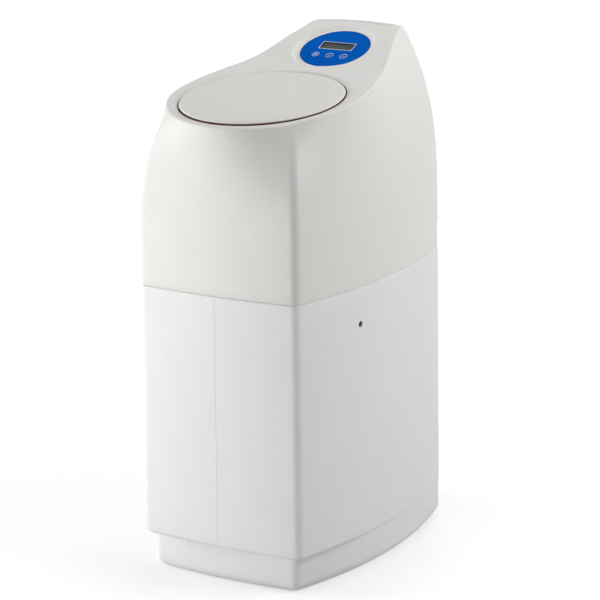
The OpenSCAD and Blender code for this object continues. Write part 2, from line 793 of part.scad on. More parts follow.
module bottom_strainer() {
    low = base_z + 6;
    color("gray") at_tank() difference() {
        rod(25, low, strainer_top);
        rod(22, low + 3, strainer_top - 6);
        rod(riser_r + 0.15, strainer_top - 10, strainer_top + 1);
        for (z = [low + 8:6:strainer_top - 12], a = [0, 60, 120])
            translate([0, 0, z]) rotate([0, 0, a]) cube([60, 8, 1.2], center = true);
    }
}

module top_strainer() {
    color("gray") at_tank() difference() {
        pipe(24, riser_r + 0.4, neck_top - 25, body_z);
        for (z = [neck_top - 20:6:neck_top - 6], a = [0, 60, 120])
            translate([0, 0, z]) rotate([0, 0, a]) cube([60, 8, 1.2], center = true);
    }
}

module neck_seal() {
    color("black") at_tank() pipe(neck_r - 0.3, neck_r - 2.7, neck_top, body_z);
}

module valve_body() {
    color("dimgray") at_tank() difference() {
        union() {
            rod(neck_r + 9, neck_top - 30, body_z + tiny);
            rod(valve_r, body_z, body_top);
            both_sides() translate([port_x, 0, port_z]) {
                along_y(0, port_end, port_r);
                along_y(port_end - 4, port_end, port_r + 4);
            }
            translate([0, 0, port_z]) along_y(-valve_r - 14, 0, 20);
            translate([0, 0, port_z - 6]) along_x(-valve_r - 12, 0, 8);
            translate([0, 14, port_z + 28]) along_x(-valve_r - 12, 0, 9);
        }
        rod(neck_r + part_gap, neck_top - 31, body_z);
        rod(riser_r + 0.25, body_z - 1, body_z + 22);
        rod(9, body_z + 21, chamber_z + 1);
        rod(chamber_r, chamber_z, body_top + 1);
        both_sides() translate([port_x, 0, port_z]) along_y(15, port_end + 1, port_bore);
        both_sides() translate([port_x - 4, 19, 0]) rod(5, port_z, chamber_z + 1);
        translate([0, 0, port_z]) along_y(-valve_r - 15, -20, 12);
        translate([0, 0, port_z - 6]) along_x(-valve_r - 13, -20, 3.5);
        translate([0, 14, port_z + 28]) along_x(-valve_r - 13, -20, 5);
        for (i = [0:5]) rotate([0, 0, 60 * i + 30]) translate([valve_r - valve_wall / 2, 0, 0])
            rod(2.05, body_top - 14, body_top + 1);
    }
}

module rotor_seal() {
    color("black") at_tank() difference() {
        rod(chamber_r - 0.4, chamber_z, rotor_z - 0.1);
        rod(9, chamber_z - 1, rotor_z + 1);
        for (i = [0:5]) rotate([0, 0, 60 * i + 34]) translate([port_x + 1, 0, 0])
            rod(5, chamber_z - 1, rotor_z + 1);
    }
}

module valve_rotor() {
    color("white") at_tank() difference() {
        union() {
            rod(chamber_r - 0.4, rotor_z, rotor_z + rotor_t);
            rod(rotor_shaft_r, rotor_z + rotor_t - tiny, gear_z + gear_t);
        }
        translate([4, -6, rotor_z - 1]) cube([chamber_r - 10, 12, 6]);
        translate([-chamber_r + 6, -6, rotor_z - 1]) cube([chamber_r - 10, 12, 6]);
    }
}

module valve_cover() {
    pad = rotor_z + rotor_t + part_gap;
    color("gray") at_tank() difference() {
        union() {
            rod(valve_r, body_top, cover_top);
            rod(16, pad, body_top + tiny);
            for (a = [0, 120, 240]) rotate([0, 0, a]) translate([valve_r - 3.4, 0, 0])
                rod(3, cover_top - tiny, plate_z);
        }
        rod(rotor_shaft_r + run_clear, pad - 1, cover_top + 1);
        for (i = [0:5]) rotate([0, 0, 60 * i + 30]) translate([valve_r - valve_wall / 2, 0, 0])
            rod(2.3, body_top - 1, cover_top + 1);
    }
}

module cover_screws() {
    color("silver") at_tank() for (i = [0:5])
        rotate([0, 0, 60 * i + 30]) translate([valve_r - valve_wall / 2, 0, 0]) {
            rod(2, body_top - 12, cover_top + 0.1);
            difference() {
                rod(3.6, cover_top + 0.05, cover_top + 3);
                rod(1.6, cover_top + 1.4, cover_top + 4);
            }
        }
}

module drive_gear() {
    color("ivory") at_tank() difference() {
        union() {
            slab(gear_z, gear_z + gear_t) polygon(gear_outline(gear_teeth, gear_module));
            rod(14, gear_z - 3, gear_z + tiny);
        }
        rod(rotor_shaft_r + 0.02, gear_z - 4, gear_z + gear_t + 1);
        for (i = [0:4]) rotate([0, 0, 72 * i]) translate([23, 0, 0])
            rod(6, gear_z - 1, gear_z + gear_t + 1);
    }
}

module motor_plate() {
    color("silver") at_tank() difference() {
        translate([-valve_r - 2, motor_y - motor_r - 5, plate_z])
            cube([2 * valve_r + 4, valve_r - motor_y + motor_r + 7, 3]);
        translate([0, motor_y, 0]) rod(4, plate_z - 1, motor_z + 1);
        rod(rotor_shaft_r + 2, plate_z - 1, motor_z + 1);
    }
}

module drive_motor() {
    color("darkgray") at_tank() translate([0, motor_y, 0]) difference() {
        union() {
            rod(motor_r, motor_z, motor_z + motor_h);
            both_sides() translate([motor_r - 2, -5, motor_z]) cube([10, 10, 1.5]);
        }
        rod(2.5 + run_clear, motor_z - 1, motor_z + 10);
    }
}

module motor_pinion() {
    color("ivory") at_tank() translate([0, motor_y, 0]) {
        slab(gear_z, gear_z + gear_t) rotate(90 - 180 / pinion_teeth)
            polygon(gear_outline(pinion_teeth, gear_module));
        rod(2.5, gear_z + gear_t - tiny, motor_z + 9);
    }
}

module position_switch() {
    color("black") at_tank() translate([20, 20, motor_z]) cube([20, 10, 7]);
}

module injector_cap() {
    y0 = -valve_r - 14;
    color("black") at_tank() translate([0, 0, port_z]) difference() {
        union() {
            along_y(y0 - 12, y0, 22);
            along_y(y0, y0 + 12, 11.7);
        }
        for (i = [0:11]) rotate([0, 30 * i, 0]) translate([23, 0, 0]) along_y(y0 - 13, y0 + 1, 2.4);
    }
}

module brine_elbow() {
    x0 = -valve_r - 12;
    color("ivory") at_tank() translate([0, 0, port_z - 6]) difference() {
        union() {
            along_x(x0 - 12, x0, 6.5);
            translate([x0 - 12, 0, 0]) sphere(r = 6.5);
            translate([x0 - 12, 0, 0]) along_y(-16, 0, 6.5);
        }
        along_x(x0 - 12, x0 + 1, 3.2);
        translate([x0 - 12, 0, 0]) along_y(-17, 0, 3.2);
    }
}

module drain_fitting() {
    x0 = -valve_r - 12;
    end = y_back + back_bow + 8 - tank_y;
    color("black") at_tank() translate([0, 0, port_z + 28]) difference() {
        union() {
            translate([0, 14, 0]) along_x(x0 - 11, x0, 9);
            translate([x0 - 11, 14, 0]) sphere(r = 9);
            translate([x0 - 11, 0, 0]) along_y(14, end - drain_len, 9);
            translate([x0 - 11, 0, 0]) along_y(end - drain_len - tiny, end, drain_r);
        }
        translate([0, 14, 0]) along_x(x0 - 11, x0 + 1, 4);
        translate([x0 - 11, 0, 0]) along_y(14, end + 1, 4);
    }
}

module turbine() {
    color("ivory") at_tank() translate([port_x, 0, port_z]) difference() {
        union() {
            along_y(52, 66, 2.6);
            for (a = [0:60:300]) rotate([0, a, 0]) translate([0, 53, -0.5])
                cube([port_bore - 0.6, 12, 1]);
        }
        along_y(51, 67, 1.1);
    }
}

module turbine_support() {
    color("gray") at_tank() translate([port_x, 0, port_z]) {
        along_y(48, 69, 1.03);
        difference() {
            along_y(68, 72, port_bore - 0.05);
            for (a = [0:90:270]) rotate([0, a, 0]) translate([5, 0, 0]) along_y(67, 73, 2.4);
        }
    }
}

module bypass_body() {
    color("dimgray") at_tank() translate([0, 0, port_z]) difference() {
        union() {
            translate([0, bypass_y, 0]) along_x(-bypass_half, bypass_half, bypass_r);
            both_sides() translate([port_x, 0, 0]) {
                along_y(port_end, bypass_y, port_r);
                along_y(port_end, port_end + 4, port_r + 4);
                along_y(bypass_y, bypass_y + bypass_r, tail_r + 3);
                along_y(bypass_y, bypass_y + bypass_r + pipe_end, tail_r);
            }
        }
        translate([0, bypass_y, 0]) along_x(-bypass_half - 1, bypass_half + 1, stem_r + run_clear);
        both_sides() translate([port_x, 0, 0])
            along_y(port_end - 1, bypass_y + bypass_r + pipe_end + 1, port_bore);
    }
}

module bypass_stem() {
    left = -bypass_half - stem_travel - 0.5;
    right = bypass_half + 0.5;
    color("firebrick") at_tank() translate([0, bypass_y, port_z]) difference() {
        union() {
            along_x(left, right, stem_r);
            along_x(left - knob_t, left, knob_r);
            along_x(right, right + knob_t, knob_r);
        }
        for (x = [-port_x - stem_travel / 2 - 6, port_x - stem_travel / 2 - 6])
            translate([x, 0, 0]) difference() {
                along_x(-12, 12, stem_r + 1);
                along_x(-13, 13, stem_r - 5);
            }
    }
}

module bypass_clips() {
    r0 = port_r + 0.4;
    r1 = port_r + 4.3;
    color("royalblue") at_tank() both_sides() translate([port_x, port_end, port_z])
        rotate([-90, 0, 0]) rotate([0, 0, -55]) rotate_extrude(angle = 290)
            polygon([[r0, -5.6], [r1 + 3, -5.6], [r1 + 3, 5.6], [r0, 5.6],
                [r0, 4.3], [r1, 4.3], [r1, -4.3], [r0, -4.3]]);
}

module brine_well() {
    color("white") at_well() difference() {
        pipe(well_r, well_r - well_t, floor_t, well_top);
        translate([0, 0, outlet_z]) along_y(0, well_r + 5, 7.3);
        for (a = [0:60:300], z = [20, 40]) rotate([0, 0, a + 30]) translate([0, 0, z + floor_t])
            along_x(30, 60, 4);
    }
}

module well_cap() {
    color("gainsboro") at_well() {
        rod(well_r + 2.3, well_top, well_top + 3);
        pipe(well_r + 2.3, well_r + part_gap, well_top - 10, well_top + tiny);
    }
}

module safety_valve() {
    wall_in = sqrt(pow(well_r - well_t, 2) - 100);
    color("gray") at_well() difference() {
        union() {
            rod(safety_r, safety_z, safety_z + 37);
            translate([0, 0, outlet_z]) {
                along_y(0, well_r + 14, 6.5);
                along_y(wall_in - 5, wall_in - 0.2, 10);
                along_y(well_r + 0.1, well_r + 7, 11);
            }
            translate([0, 0, safety_z + 10]) along_y(-pickup_off, 0, pickup_r);
            translate([0, -pickup_off, 0]) rod(pickup_r + 1.6, safety_z - 6, safety_z + 17);
        }
        rod(rod_r + 0.3, safety_z - 1, safety_z + 24);
        translate([0, -pickup_off, 0]) rod(pickup_r + 0.05, safety_z - 7, safety_z + 3.5);
        translate([0, 0, outlet_z]) along_y(8, well_r + 15, 3.2);
    }
}

module pickup_tube() {
    color("white") at_well() translate([0, -pickup_off, 0])
        pipe(pickup_r, pickup_r - 1.6, floor_t + 30, safety_z + 3.4);
}

module air_check() {
    color("black") at_well() translate([0, -pickup_off, 0]) difference() {
        rod(8.5, floor_t + 4, floor_t + 46);
        rod(pickup_r + 0.05, floor_t + 29, floor_t + 47);
        rod(5, floor_t + 8, floor_t + 30);
        for (a = [0, 60, 120]) translate([0, 0, floor_t + 14]) rotate([0, 0, a])
            cube([30, 4, 8], center = true);
    }
}

module brine_float() {
    color("seagreen") at_well() pipe(float_r, rod_r + 0.02, float_z, float_z + float_h);
}

module float_rod() {
    color("silver") at_well() {
        rod(rod_r, floor_t + 60, safety_z + 5);
        rod(5, float_z - 4, float_z - 0.05);
        rod(5, float_z + float_h + 0.05, float_z + float_h + 4);
    }
}

module brine_hose() {
    a = [-well_x, well_y + well_r + 14.6, outlet_z];
    d = [-valve_r - 24, tank_y - 16.6, port_z - 6];
    run = (d[1] - a[1]) * 0.45;
    b = a + [0, run, 0];
    c = d - [0, run, 0];
    path = [for (i = [0:24]) let (t = i / 24)
        a * pow(1 - t, 3) + b * 3 * t * pow(1 - t, 2) + c * 3 * t * t * (1 - t) + d * pow(t, 3)];
    color("ivory") hose(path, 4.8, 16);
}

module salt_grid() {
    legs = [[90, -150], [-90, -150], [40, -205], [-40, -205]];
    color("white") {
        slab(grid_h, grid_h + grid_t) difference() {
            polygon(full_plan(case_plan(case_wall + 4)));
            translate([0, tank_y]) circle(r = boot_r + 2);
            translate([-well_x, well_y]) circle(r = well_r + 2);
            for (x = [-105:30:105], y = [y_front + 34:30:y_front + 160]) translate([x, y]) circle(r = 5);
        }
        for (p = legs) translate([p[0], p[1], 0]) rod(7, floor_t, grid_h + tiny);
    }
}

cabinet();
hood();
hood_screws();
hatch_collar();
lid_seal();
salt_lid();
lid_hinge_pins();
control_housing();
panel_plate();
display_window();
lcd_module();
key_menu();
key_down();
key_up();
key_switches();
control_board();
board_screws();
power_jack();
tank_boot();
resin_tank();
resin_bed();
riser_tube();
bottom_strainer();
top_strainer();
neck_seal();
valve_body();
rotor_seal();
valve_rotor();
valve_cover();
cover_screws();
drive_gear();
motor_plate();
drive_motor();
motor_pinion();
position_switch();
injector_cap();
brine_elbow();
drain_fitting();
turbine();
turbine_support();
bypass_body();
bypass_stem();
bypass_clips();
brine_well();
well_cap();
safety_valve();
pickup_tube();
air_check();
brine_float();
float_rod();
brine_hose();
salt_grid();
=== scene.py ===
"""Looks of a cabinet water softener: moulded hood and cabinet, salt hatch, blue control panel."""

import math

import bmesh
import bpy
from mathutils import Matrix, Vector


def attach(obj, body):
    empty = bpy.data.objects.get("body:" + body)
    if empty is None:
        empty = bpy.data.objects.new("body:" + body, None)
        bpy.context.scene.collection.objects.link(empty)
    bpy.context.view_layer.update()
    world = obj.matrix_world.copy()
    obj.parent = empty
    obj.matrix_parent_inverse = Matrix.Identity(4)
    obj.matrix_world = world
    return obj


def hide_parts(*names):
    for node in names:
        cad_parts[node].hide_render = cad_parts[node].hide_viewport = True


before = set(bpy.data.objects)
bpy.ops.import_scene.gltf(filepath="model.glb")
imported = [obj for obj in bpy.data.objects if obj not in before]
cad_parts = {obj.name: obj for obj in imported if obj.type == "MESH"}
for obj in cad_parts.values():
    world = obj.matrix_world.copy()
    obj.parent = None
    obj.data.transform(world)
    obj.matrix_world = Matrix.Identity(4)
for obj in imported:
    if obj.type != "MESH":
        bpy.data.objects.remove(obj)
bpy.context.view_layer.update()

# Sizes, in millimetres
MM = 0.001
FRONT_HALF, BACK_HALF = 150.0, 120.0
Y_FRONT, Y_BACK = -254.0, 254.0
FRONT_BOW, SIDE_BOW, BACK_BOW = 9.4, 33.0, 8.0
FRONT_CORNER, BACK_CORNER = 11.0, 18.0
PLINTH_IN, PLINTH_BACK, PLINTH_BOW, FOOT_R = 12.0, -1.5, 4.0, 18.0
STEP_H, EDGE_H, DRAFT = 60.5, 10.0, 2.0
SEAM_H, LIP_H, LIP_IN = 483.0, 11.0, 3.9
CABINET_WALL, HOOD_WALL = 3.5, 3.5
SHOULDER_H, RIM_H, LEAN = 570.0, 758.5, 2.6
RIM_HALF, RIM_CENTRE_Y, RIM_DEPTH = 166.0, -104.0, 151.0
NAPE_HALF, NAPE_IN, TAPER_START, TAPER_LEN = 73.0, 44.0, 150.0, 370.0
BACK_PULL = (Y_BACK + BACK_BOW - NAPE_IN - RIM_CENTRE_Y) / (Y_BACK + BACK_BOW - RIM_CENTRE_Y)
LID_A, PANEL_A, RIDGE_FALL = (math.radians(a) for a in (10.1, 25.0, 20.0))
FLAT_LEN, BEND_LEN, PANEL_RUN, RIDGE_R = 280.0, 64.0, 79.0, 45.0
FLAT_END = Y_FRONT + FLAT_LEN
BEND_END = FLAT_END + BEND_LEN
RIDGE_START = BEND_END + PANEL_RUN
RIDGE_END = RIDGE_START + RIDGE_R * (math.sin(PANEL_A) + math.sin(RIDGE_FALL))
BEND_R = BEND_LEN / (math.sin(PANEL_A) - math.sin(LID_A))
FLAT_END_Z = RIM_H + FLAT_LEN * math.tan(LID_A)
BEND_END_Z = FLAT_END_Z + BEND_R * (math.cos(LID_A) - math.cos(PANEL_A))
RIDGE_START_Z = BEND_END_Z + PANEL_RUN * math.tan(PANEL_A)
RIDGE_END_Z = RIDGE_START_Z + RIDGE_R * (math.cos(RIDGE_FALL) - math.cos(PANEL_A))
LID_HALF_W, LID_HALF_L, LID_GAP, LID_SET = 139.0, 128.0, 2.0, 138.0
LID_Y = Y_FRONT + LID_SET
LID_Z = RIM_H + LID_SET * math.tan(LID_A)
PANEL_SET = 17.5
PANEL_Y = BEND_END + PANEL_SET
PANEL_Z = BEND_END_Z + PANEL_SET * math.tan(PANEL_A)
PLATE_HALF_W, PLATE_HALF_L, PLATE_TOP = 63.0, 55.0, -6.5
KEY_X, KEY_V, KEY_TOP = (-27.0, 0.0, 27.0), -20.0, -6.2
WINDOW_W, WINDOW_H, WINDOW_V = 64.0, 21.0, 8.4
HINGE_V, HINGE_W = LID_HALF_L + 12.0, -10.0
ARM_X, ARM_W = 24.0, 8.0
SLOT_HALF, SLOT_TOP, SLOT_R = 92.0, 700.0, 18.0
OVERFLOW = Vector((167.4, -92.5, 421.5))
OVERFLOW_R = 5.5

ON_LID = Matrix.Translation((0, LID_Y, LID_Z)) @ Matrix.Rotation(LID_A, 4, "X")
ON_PANEL = Matrix.Translation((0, PANEL_Y, PANEL_Z)) @ Matrix.Rotation(PANEL_A, 4, "X")


# Camera, in metres and degrees
CAMERA_PLACE, CAMERA_ANGLES = (2.4056, -3.7974, 1.5213), (32.404, 13.747, -0.573)
IMAGE_PX, FOCAL_PX, SENSOR_MM = 600.0, 2761.35, 36.0


def photo_camera():
    """Camera at the photograph's viewing angle, with its small roll."""
    azimuth, elevation, roll = (math.radians(a) for a in CAMERA_ANGLES)
    back = Vector((math.sin(azimuth) * math.cos(elevation),
                   -math.cos(azimuth) * math.cos(elevation), math.sin(elevation)))
    right = Vector((math.cos(azimuth), math.sin(azimuth), 0))
    up = back.cross(right)
    side = math.cos(roll) * right + math.sin(roll) * up
    top = -math.sin(roll) * right + math.cos(roll) * up
    turn = Matrix((side, top, back)).transposed().to_4x4()
    lens = bpy.data.cameras.new("photo_camera")
    lens.sensor_width = SENSOR_MM
    lens.lens = SENSOR_MM * FOCAL_PX / IMAGE_PX
    lens.clip_end = 60.0
    holder = bpy.data.objects.new("photo_camera", lens)
    holder.matrix_world = Matrix.Translation(CAMERA_PLACE) @ turn
    bpy.context.scene.collection.objects.link(holder)
    bpy.context.scene.camera = holder


photo_camera()


# Finishes
def shader(name):
    """New material, with its nodes, its links and its surface."""
    finish = bpy.data.materials.new(name)
    finish.use_nodes = True
    tree = finish.node_tree
    return finish, tree.nodes, tree.links, tree.nodes["Principled BSDF"]


def spread(nodes, links, scale=(1, 1, 1), turn=(0, 0, 0), centre=(0, 0, 0)):
    """Object coordinates, centred, turned and stretched for a pattern."""
    coords = nodes.new("ShaderNodeTexCoord")
    mapping = nodes.new("ShaderNodeMapping")
    mapping.vector_type = "TEXTURE"
    mapping.inputs["Location"].default_value = centre
    mapping.inputs["Rotation"].default_value = turn
    mapping.inputs["Scale"].default_value = scale
    links.new(coords.outputs["Object"], mapping.inputs["Vector"])
    return mapping.outputs["Vector"]


def cloud(nodes, links, vector, scale, detail=3.0, rough=0.5):
    """Soft noise pattern."""
    noise = nodes.new("ShaderNodeTexNoise")
    noise.inputs["Scale"].default_value = scale
    noise.inputs["Detail"].default_value = detail
    noise.inputs["Roughness"].default_value = rough
    links.new(vector, noise.inputs["Vector"])
    return noise.outputs["Fac"]


def tones(nodes, links, factor, *stops):
    """Colours along a factor, each stop a place and a colour."""
    ramp = nodes.new("ShaderNodeValToRGB")
    marks = ramp.color_ramp.elements
    while len(marks) < len(stops):
        marks.new(0.5)
    for mark, (place, colour) in zip(marks, stops):
        mark.position = place
        mark.color = (*colour, 1.0)
    links.new(factor, ramp.inputs["Fac"])
    return ramp.outputs["Color"]


def span(nodes, links, factor, low, high, start=0.0, stop=1.0):
    """A factor stretched from low to high."""
    stretch = nodes.new("ShaderNodeMapRange")
    stretch.inputs["From Min"].default_value = start
    stretch.inputs["From Max"].default_value = stop
    stretch.inputs["To Min"].default_value = low
    stretch.inputs["To Max"].default_value = high
    links.new(factor, stretch.inputs["Value"])
    return stretch.outputs["Result"]


def relief(nodes, links, surface, height, depth, strength=1.0):
    """Bump of a given depth in metres."""
    bump = nodes.new("ShaderNodeBump")
    bump.inputs["Distance"].default_value = depth
    bump.inputs["Strength"].default_value = strength
    links.new(height, bump.inputs["Height"])
    links.new(bump.outputs["Normal"], surface.inputs["Normal"])


def shade(colour, by):
    """A colour made a little lighter or darker."""
    return tuple(min(1.0, c * by) for c in colour)


def moulded(name, colour, gloss=(0.34, 0.46), grain=900.0, depth=0.00003, vary=0.03, shine=0.5):
    """Moulded plastic: faint clouds of colour, fine grain and uneven gloss."""
    finish, nodes, links, surface = shader(name)
    place = spread(nodes, links)
    drift = cloud(nodes, links, place, 9.0, 4.0, 0.55)
    links.new(tones(nodes, links, drift, (0.25, shade(colour, 1 - vary)), (0.75, shade(colour, 1 + vary))),
              surface.inputs["Base Color"])
    links.new(span(nodes, links, cloud(nodes, links, place, 40.0, 5.0), *gloss, 0.3, 0.7),
              surface.inputs["Roughness"])
    relief(nodes, links, surface, cloud(nodes, links, place, grain, 2.0), depth, 0.6)
    surface.inputs["Specular IOR Level"].default_value = shine
    return finish


def brushed(name, colour, stretch=(0.02, 1, 1), gloss=(0.22, 0.4)):
    """Plated or rolled metal with fine drawn lines."""
    finish, nodes, links, surface = shader(name)
    lines = cloud(nodes, links, spread(nodes, links, tuple(1 / s for s in stretch)), 700.0, 3.0)
    blotch = cloud(nodes, links, spread(nodes, links), 60.0, 4.0)
    links.new(tones(nodes, links, blotch, (0.3, shade(colour, 0.86)), (0.7, shade(colour, 1.08))),
              surface.inputs["Base Color"])
    links.new(span(nodes, links, lines, *gloss, 0.25, 0.75), surface.inputs["Roughness"])
    relief(nodes, links, surface, lines, 0.00002, 0.5)
    surface.inputs["Metallic"].default_value = 1.0
    return finish


def soft_rubber(name, colour):
    """Matt rubber with a dusty bloom."""
    finish, nodes, links, surface = shader(name)
    place = spread(nodes, links)
    bloom = cloud(nodes, links, place, 130.0, 6.0, 0.65)
    links.new(tones(nodes, links, bloom, (0.3, colour), (0.8, shade(colour, 1.7))),
              surface.inputs["Base Color"])
    links.new(span(nodes, links, bloom, 0.62, 0.85), surface.inputs["Roughness"])
    relief(nodes, links, surface, cloud(nodes, links, place, 1500.0), 0.00004, 0.6)
    surface.inputs["Specular IOR Level"].default_value = 0.2
    return finish


def wound_fibre(name, colour):
    """Glass fibre wound in crossing bands under clear resin."""
    finish, nodes, links, surface = shader(name)
    bands = []
    for lean in (0.35, -0.35):
        wave = nodes.new("ShaderNodeTexWave")
        wave.bands_direction = "Z"
        wave.inputs["Scale"].default_value = 28.0
        wave.inputs["Distortion"].default_value = 1.2
        wave.inputs["Detail"].default_value = 3.0
        links.new(spread(nodes, links, turn=(lean, lean * 0.6, 0)), wave.inputs["Vector"])
        bands.append(wave.outputs["Fac"])
    both = nodes.new("ShaderNodeMath")
    both.operation = "MAXIMUM"
    links.new(bands[0], both.inputs[0])
    links.new(bands[1], both.inputs[1])
    links.new(tones(nodes, links, both.outputs[0], (0.2, shade(colour, 0.72)), (0.9, shade(colour, 1.2))),
              surface.inputs["Base Color"])
    links.new(span(nodes, links, both.outputs[0], 0.4, 0.24), surface.inputs["Roughness"])
    relief(nodes, links, surface, both.outputs[0], 0.0004, 0.5)
    return finish


def wet_beads(name, colour):
    """Small resin beads packed together, with painted shade in the gaps between them and painted light on
    their tops.
    """
    finish, nodes, links, surface = shader(name)
    cells = nodes.new("ShaderNodeTexVoronoi")
    cells.inputs["Scale"].default_value = 900.0
    links.new(spread(nodes, links), cells.inputs["Vector"])
    depth = cells.outputs["Distance"]
    # Colour lighter at each bead's middle and darker towards the gaps between beads: painted light and
    # painted shade.
    links.new(tones(nodes, links, depth, (0.0, shade(colour, 1.25)), (0.7, shade(colour, 0.45))),
              surface.inputs["Base Color"])
    links.new(span(nodes, links, depth, 0.18, 0.5), surface.inputs["Roughness"])
    relief(nodes, links, surface, depth, -0.0005, 0.8)
    return finish


def cells_in_rows(nodes, links, vector, width, height, gap):
    """Rows of small cells, as a mask of 0 in the gaps."""
    brick = nodes.new("ShaderNodeTexBrick")
    brick.offset = 0.0
    brick.inputs["Scale"].default_value = 1.0
    brick.inputs["Mortar Size"].default_value = gap
    brick.inputs["Mortar Smooth"].default_value = 0.2
    brick.inputs["Brick Width"].default_value = width
    brick.inputs["Row Height"].default_value = height
    brick.inputs["Color1"].default_value = (1, 1, 1, 1)
    brick.inputs["Color2"].default_value = (0.92, 0.92, 0.92, 1)
    brick.inputs["Mortar"].default_value = (0, 0, 0, 1)
    links.new(vector, brick.inputs["Vector"])
    return brick.outputs["Color"]


PANEL_TURN = (PANEL_A, 0, 0)
PANEL_PLACE = (0, PANEL_Y * MM, PANEL_Z * MM)


def dark_display(name):
    """Unlit two-line display: dark grey-green with faint rows of character cells."""
    finish, nodes, links, surface = shader(name)
    place = spread(nodes, links, turn=PANEL_TURN, centre=PANEL_PLACE)
    grid = cells_in_rows(nodes, links, place, width=0.0035, height=0.0066, gap=0.00035)
    fade = cloud(nodes, links, place, 30.0, 2.0)
    links.new(tones(nodes, links, fade, (0.2, (0.024, 0.029, 0.026)), (0.8, (0.046, 0.052, 0.047))),
              surface.inputs["Base Color"])
    links.new(span(nodes, links, grid, 0.3, 0.22), surface.inputs["Roughness"])
    relief(nodes, links, surface, grid, 0.00005, 0.2)
    surface.inputs["Specular IOR Level"].default_value = 0.2
    return finish


def circuit_board(name):
    """Green solder resist over copper tracks."""
    finish, nodes, links, surface = shader(name)
    place = spread(nodes, links, turn=PANEL_TURN, centre=PANEL_PLACE)
    tracks = cells_in_rows(nodes, links, place, width=0.009, height=0.0024, gap=0.0006)
    links.new(tones(nodes, links, tracks, (0.2, (0.05, 0.24, 0.10)), (0.8, (0.012, 0.12, 0.045))),
              surface.inputs["Base Color"])
    links.new(span(nodes, links, cloud(nodes, links, place, 300.0), 0.25, 0.4), surface.inputs["Roughness"])
    relief(nodes, links, surface, tracks, -0.00005, 0.6)
    return finish


def printed(name, colour, gloss=(0.46, 0.54), shine=0.01):
    """Printed plastic overlay: even colour with a fine satin grain."""
    finish, nodes, links, surface = shader(name)
    place = spread(nodes, links, turn=PANEL_TURN, centre=PANEL_PLACE)
    ink = cloud(nodes, links, place, 55.0, 4.0)
    links.new(tones(nodes, links, ink, (0.2, shade(colour, 0.95)), (0.8, shade(colour, 1.05))),
              surface.inputs["Base Color"])
    links.new(span(nodes, links, cloud(nodes, links, place, 260.0), *gloss), surface.inputs["Roughness"])
    relief(nodes, links, surface, cloud(nodes, links, place, 2600.0), 0.00001, 0.4)
    surface.inputs["Specular IOR Level"].default_value = shine
    return finish


HOOD_GRAIN = {"grain": 1100.0, "depth": 0.00003, "vary": 0.012, "shine": 0.3}
CABINET_GRAIN = {"grain": 700.0, "depth": 0.00006, "vary": 0.016, "shine": 0.3}
HOOD_FINISH = moulded("warm_white_moulding", (0.80, 0.796, 0.772), (0.35, 0.42), **HOOD_GRAIN)
# Paler copy of the hood moulding for the sloping border of the panel recess: painted light, standing in for
# the light that falls on that slope from the front.
RECESS_PAINTED_LIGHT_FINISH = moulded("recess_painted_light_moulding", (0.85, 0.845, 0.815), (0.35, 0.42), **HOOD_GRAIN)
CABINET_FINISH = moulded("cabinet_moulding", (0.845, 0.84, 0.834), (0.40, 0.52), **CABINET_GRAIN)
LID_FINISH = moulded("lid_moulding", (0.79, 0.785, 0.755), (0.34, 0.39), **HOOD_GRAIN)
GASKET_FINISH = soft_rubber("brown_gasket", (0.075, 0.024, 0.014))
BORDER_FINISH = moulded("cream_trim", (0.97, 0.88, 0.73), (0.3, 0.4), 900.0, 0.00002, 0.015)
FRAME_FINISH = moulded("window_trim", (0.80, 0.80, 0.77), (0.25, 0.35), 900.0, 0.00002, 0.02)
BLUE_FINISH = printed("blue_overlay", (0.0, 0.116, 0.56))
KEY_FINISH = printed("blue_key", (0.0, 0.120, 0.57))
ICON_FINISH = printed("pale_print", (0.62, 0.70, 0.80))

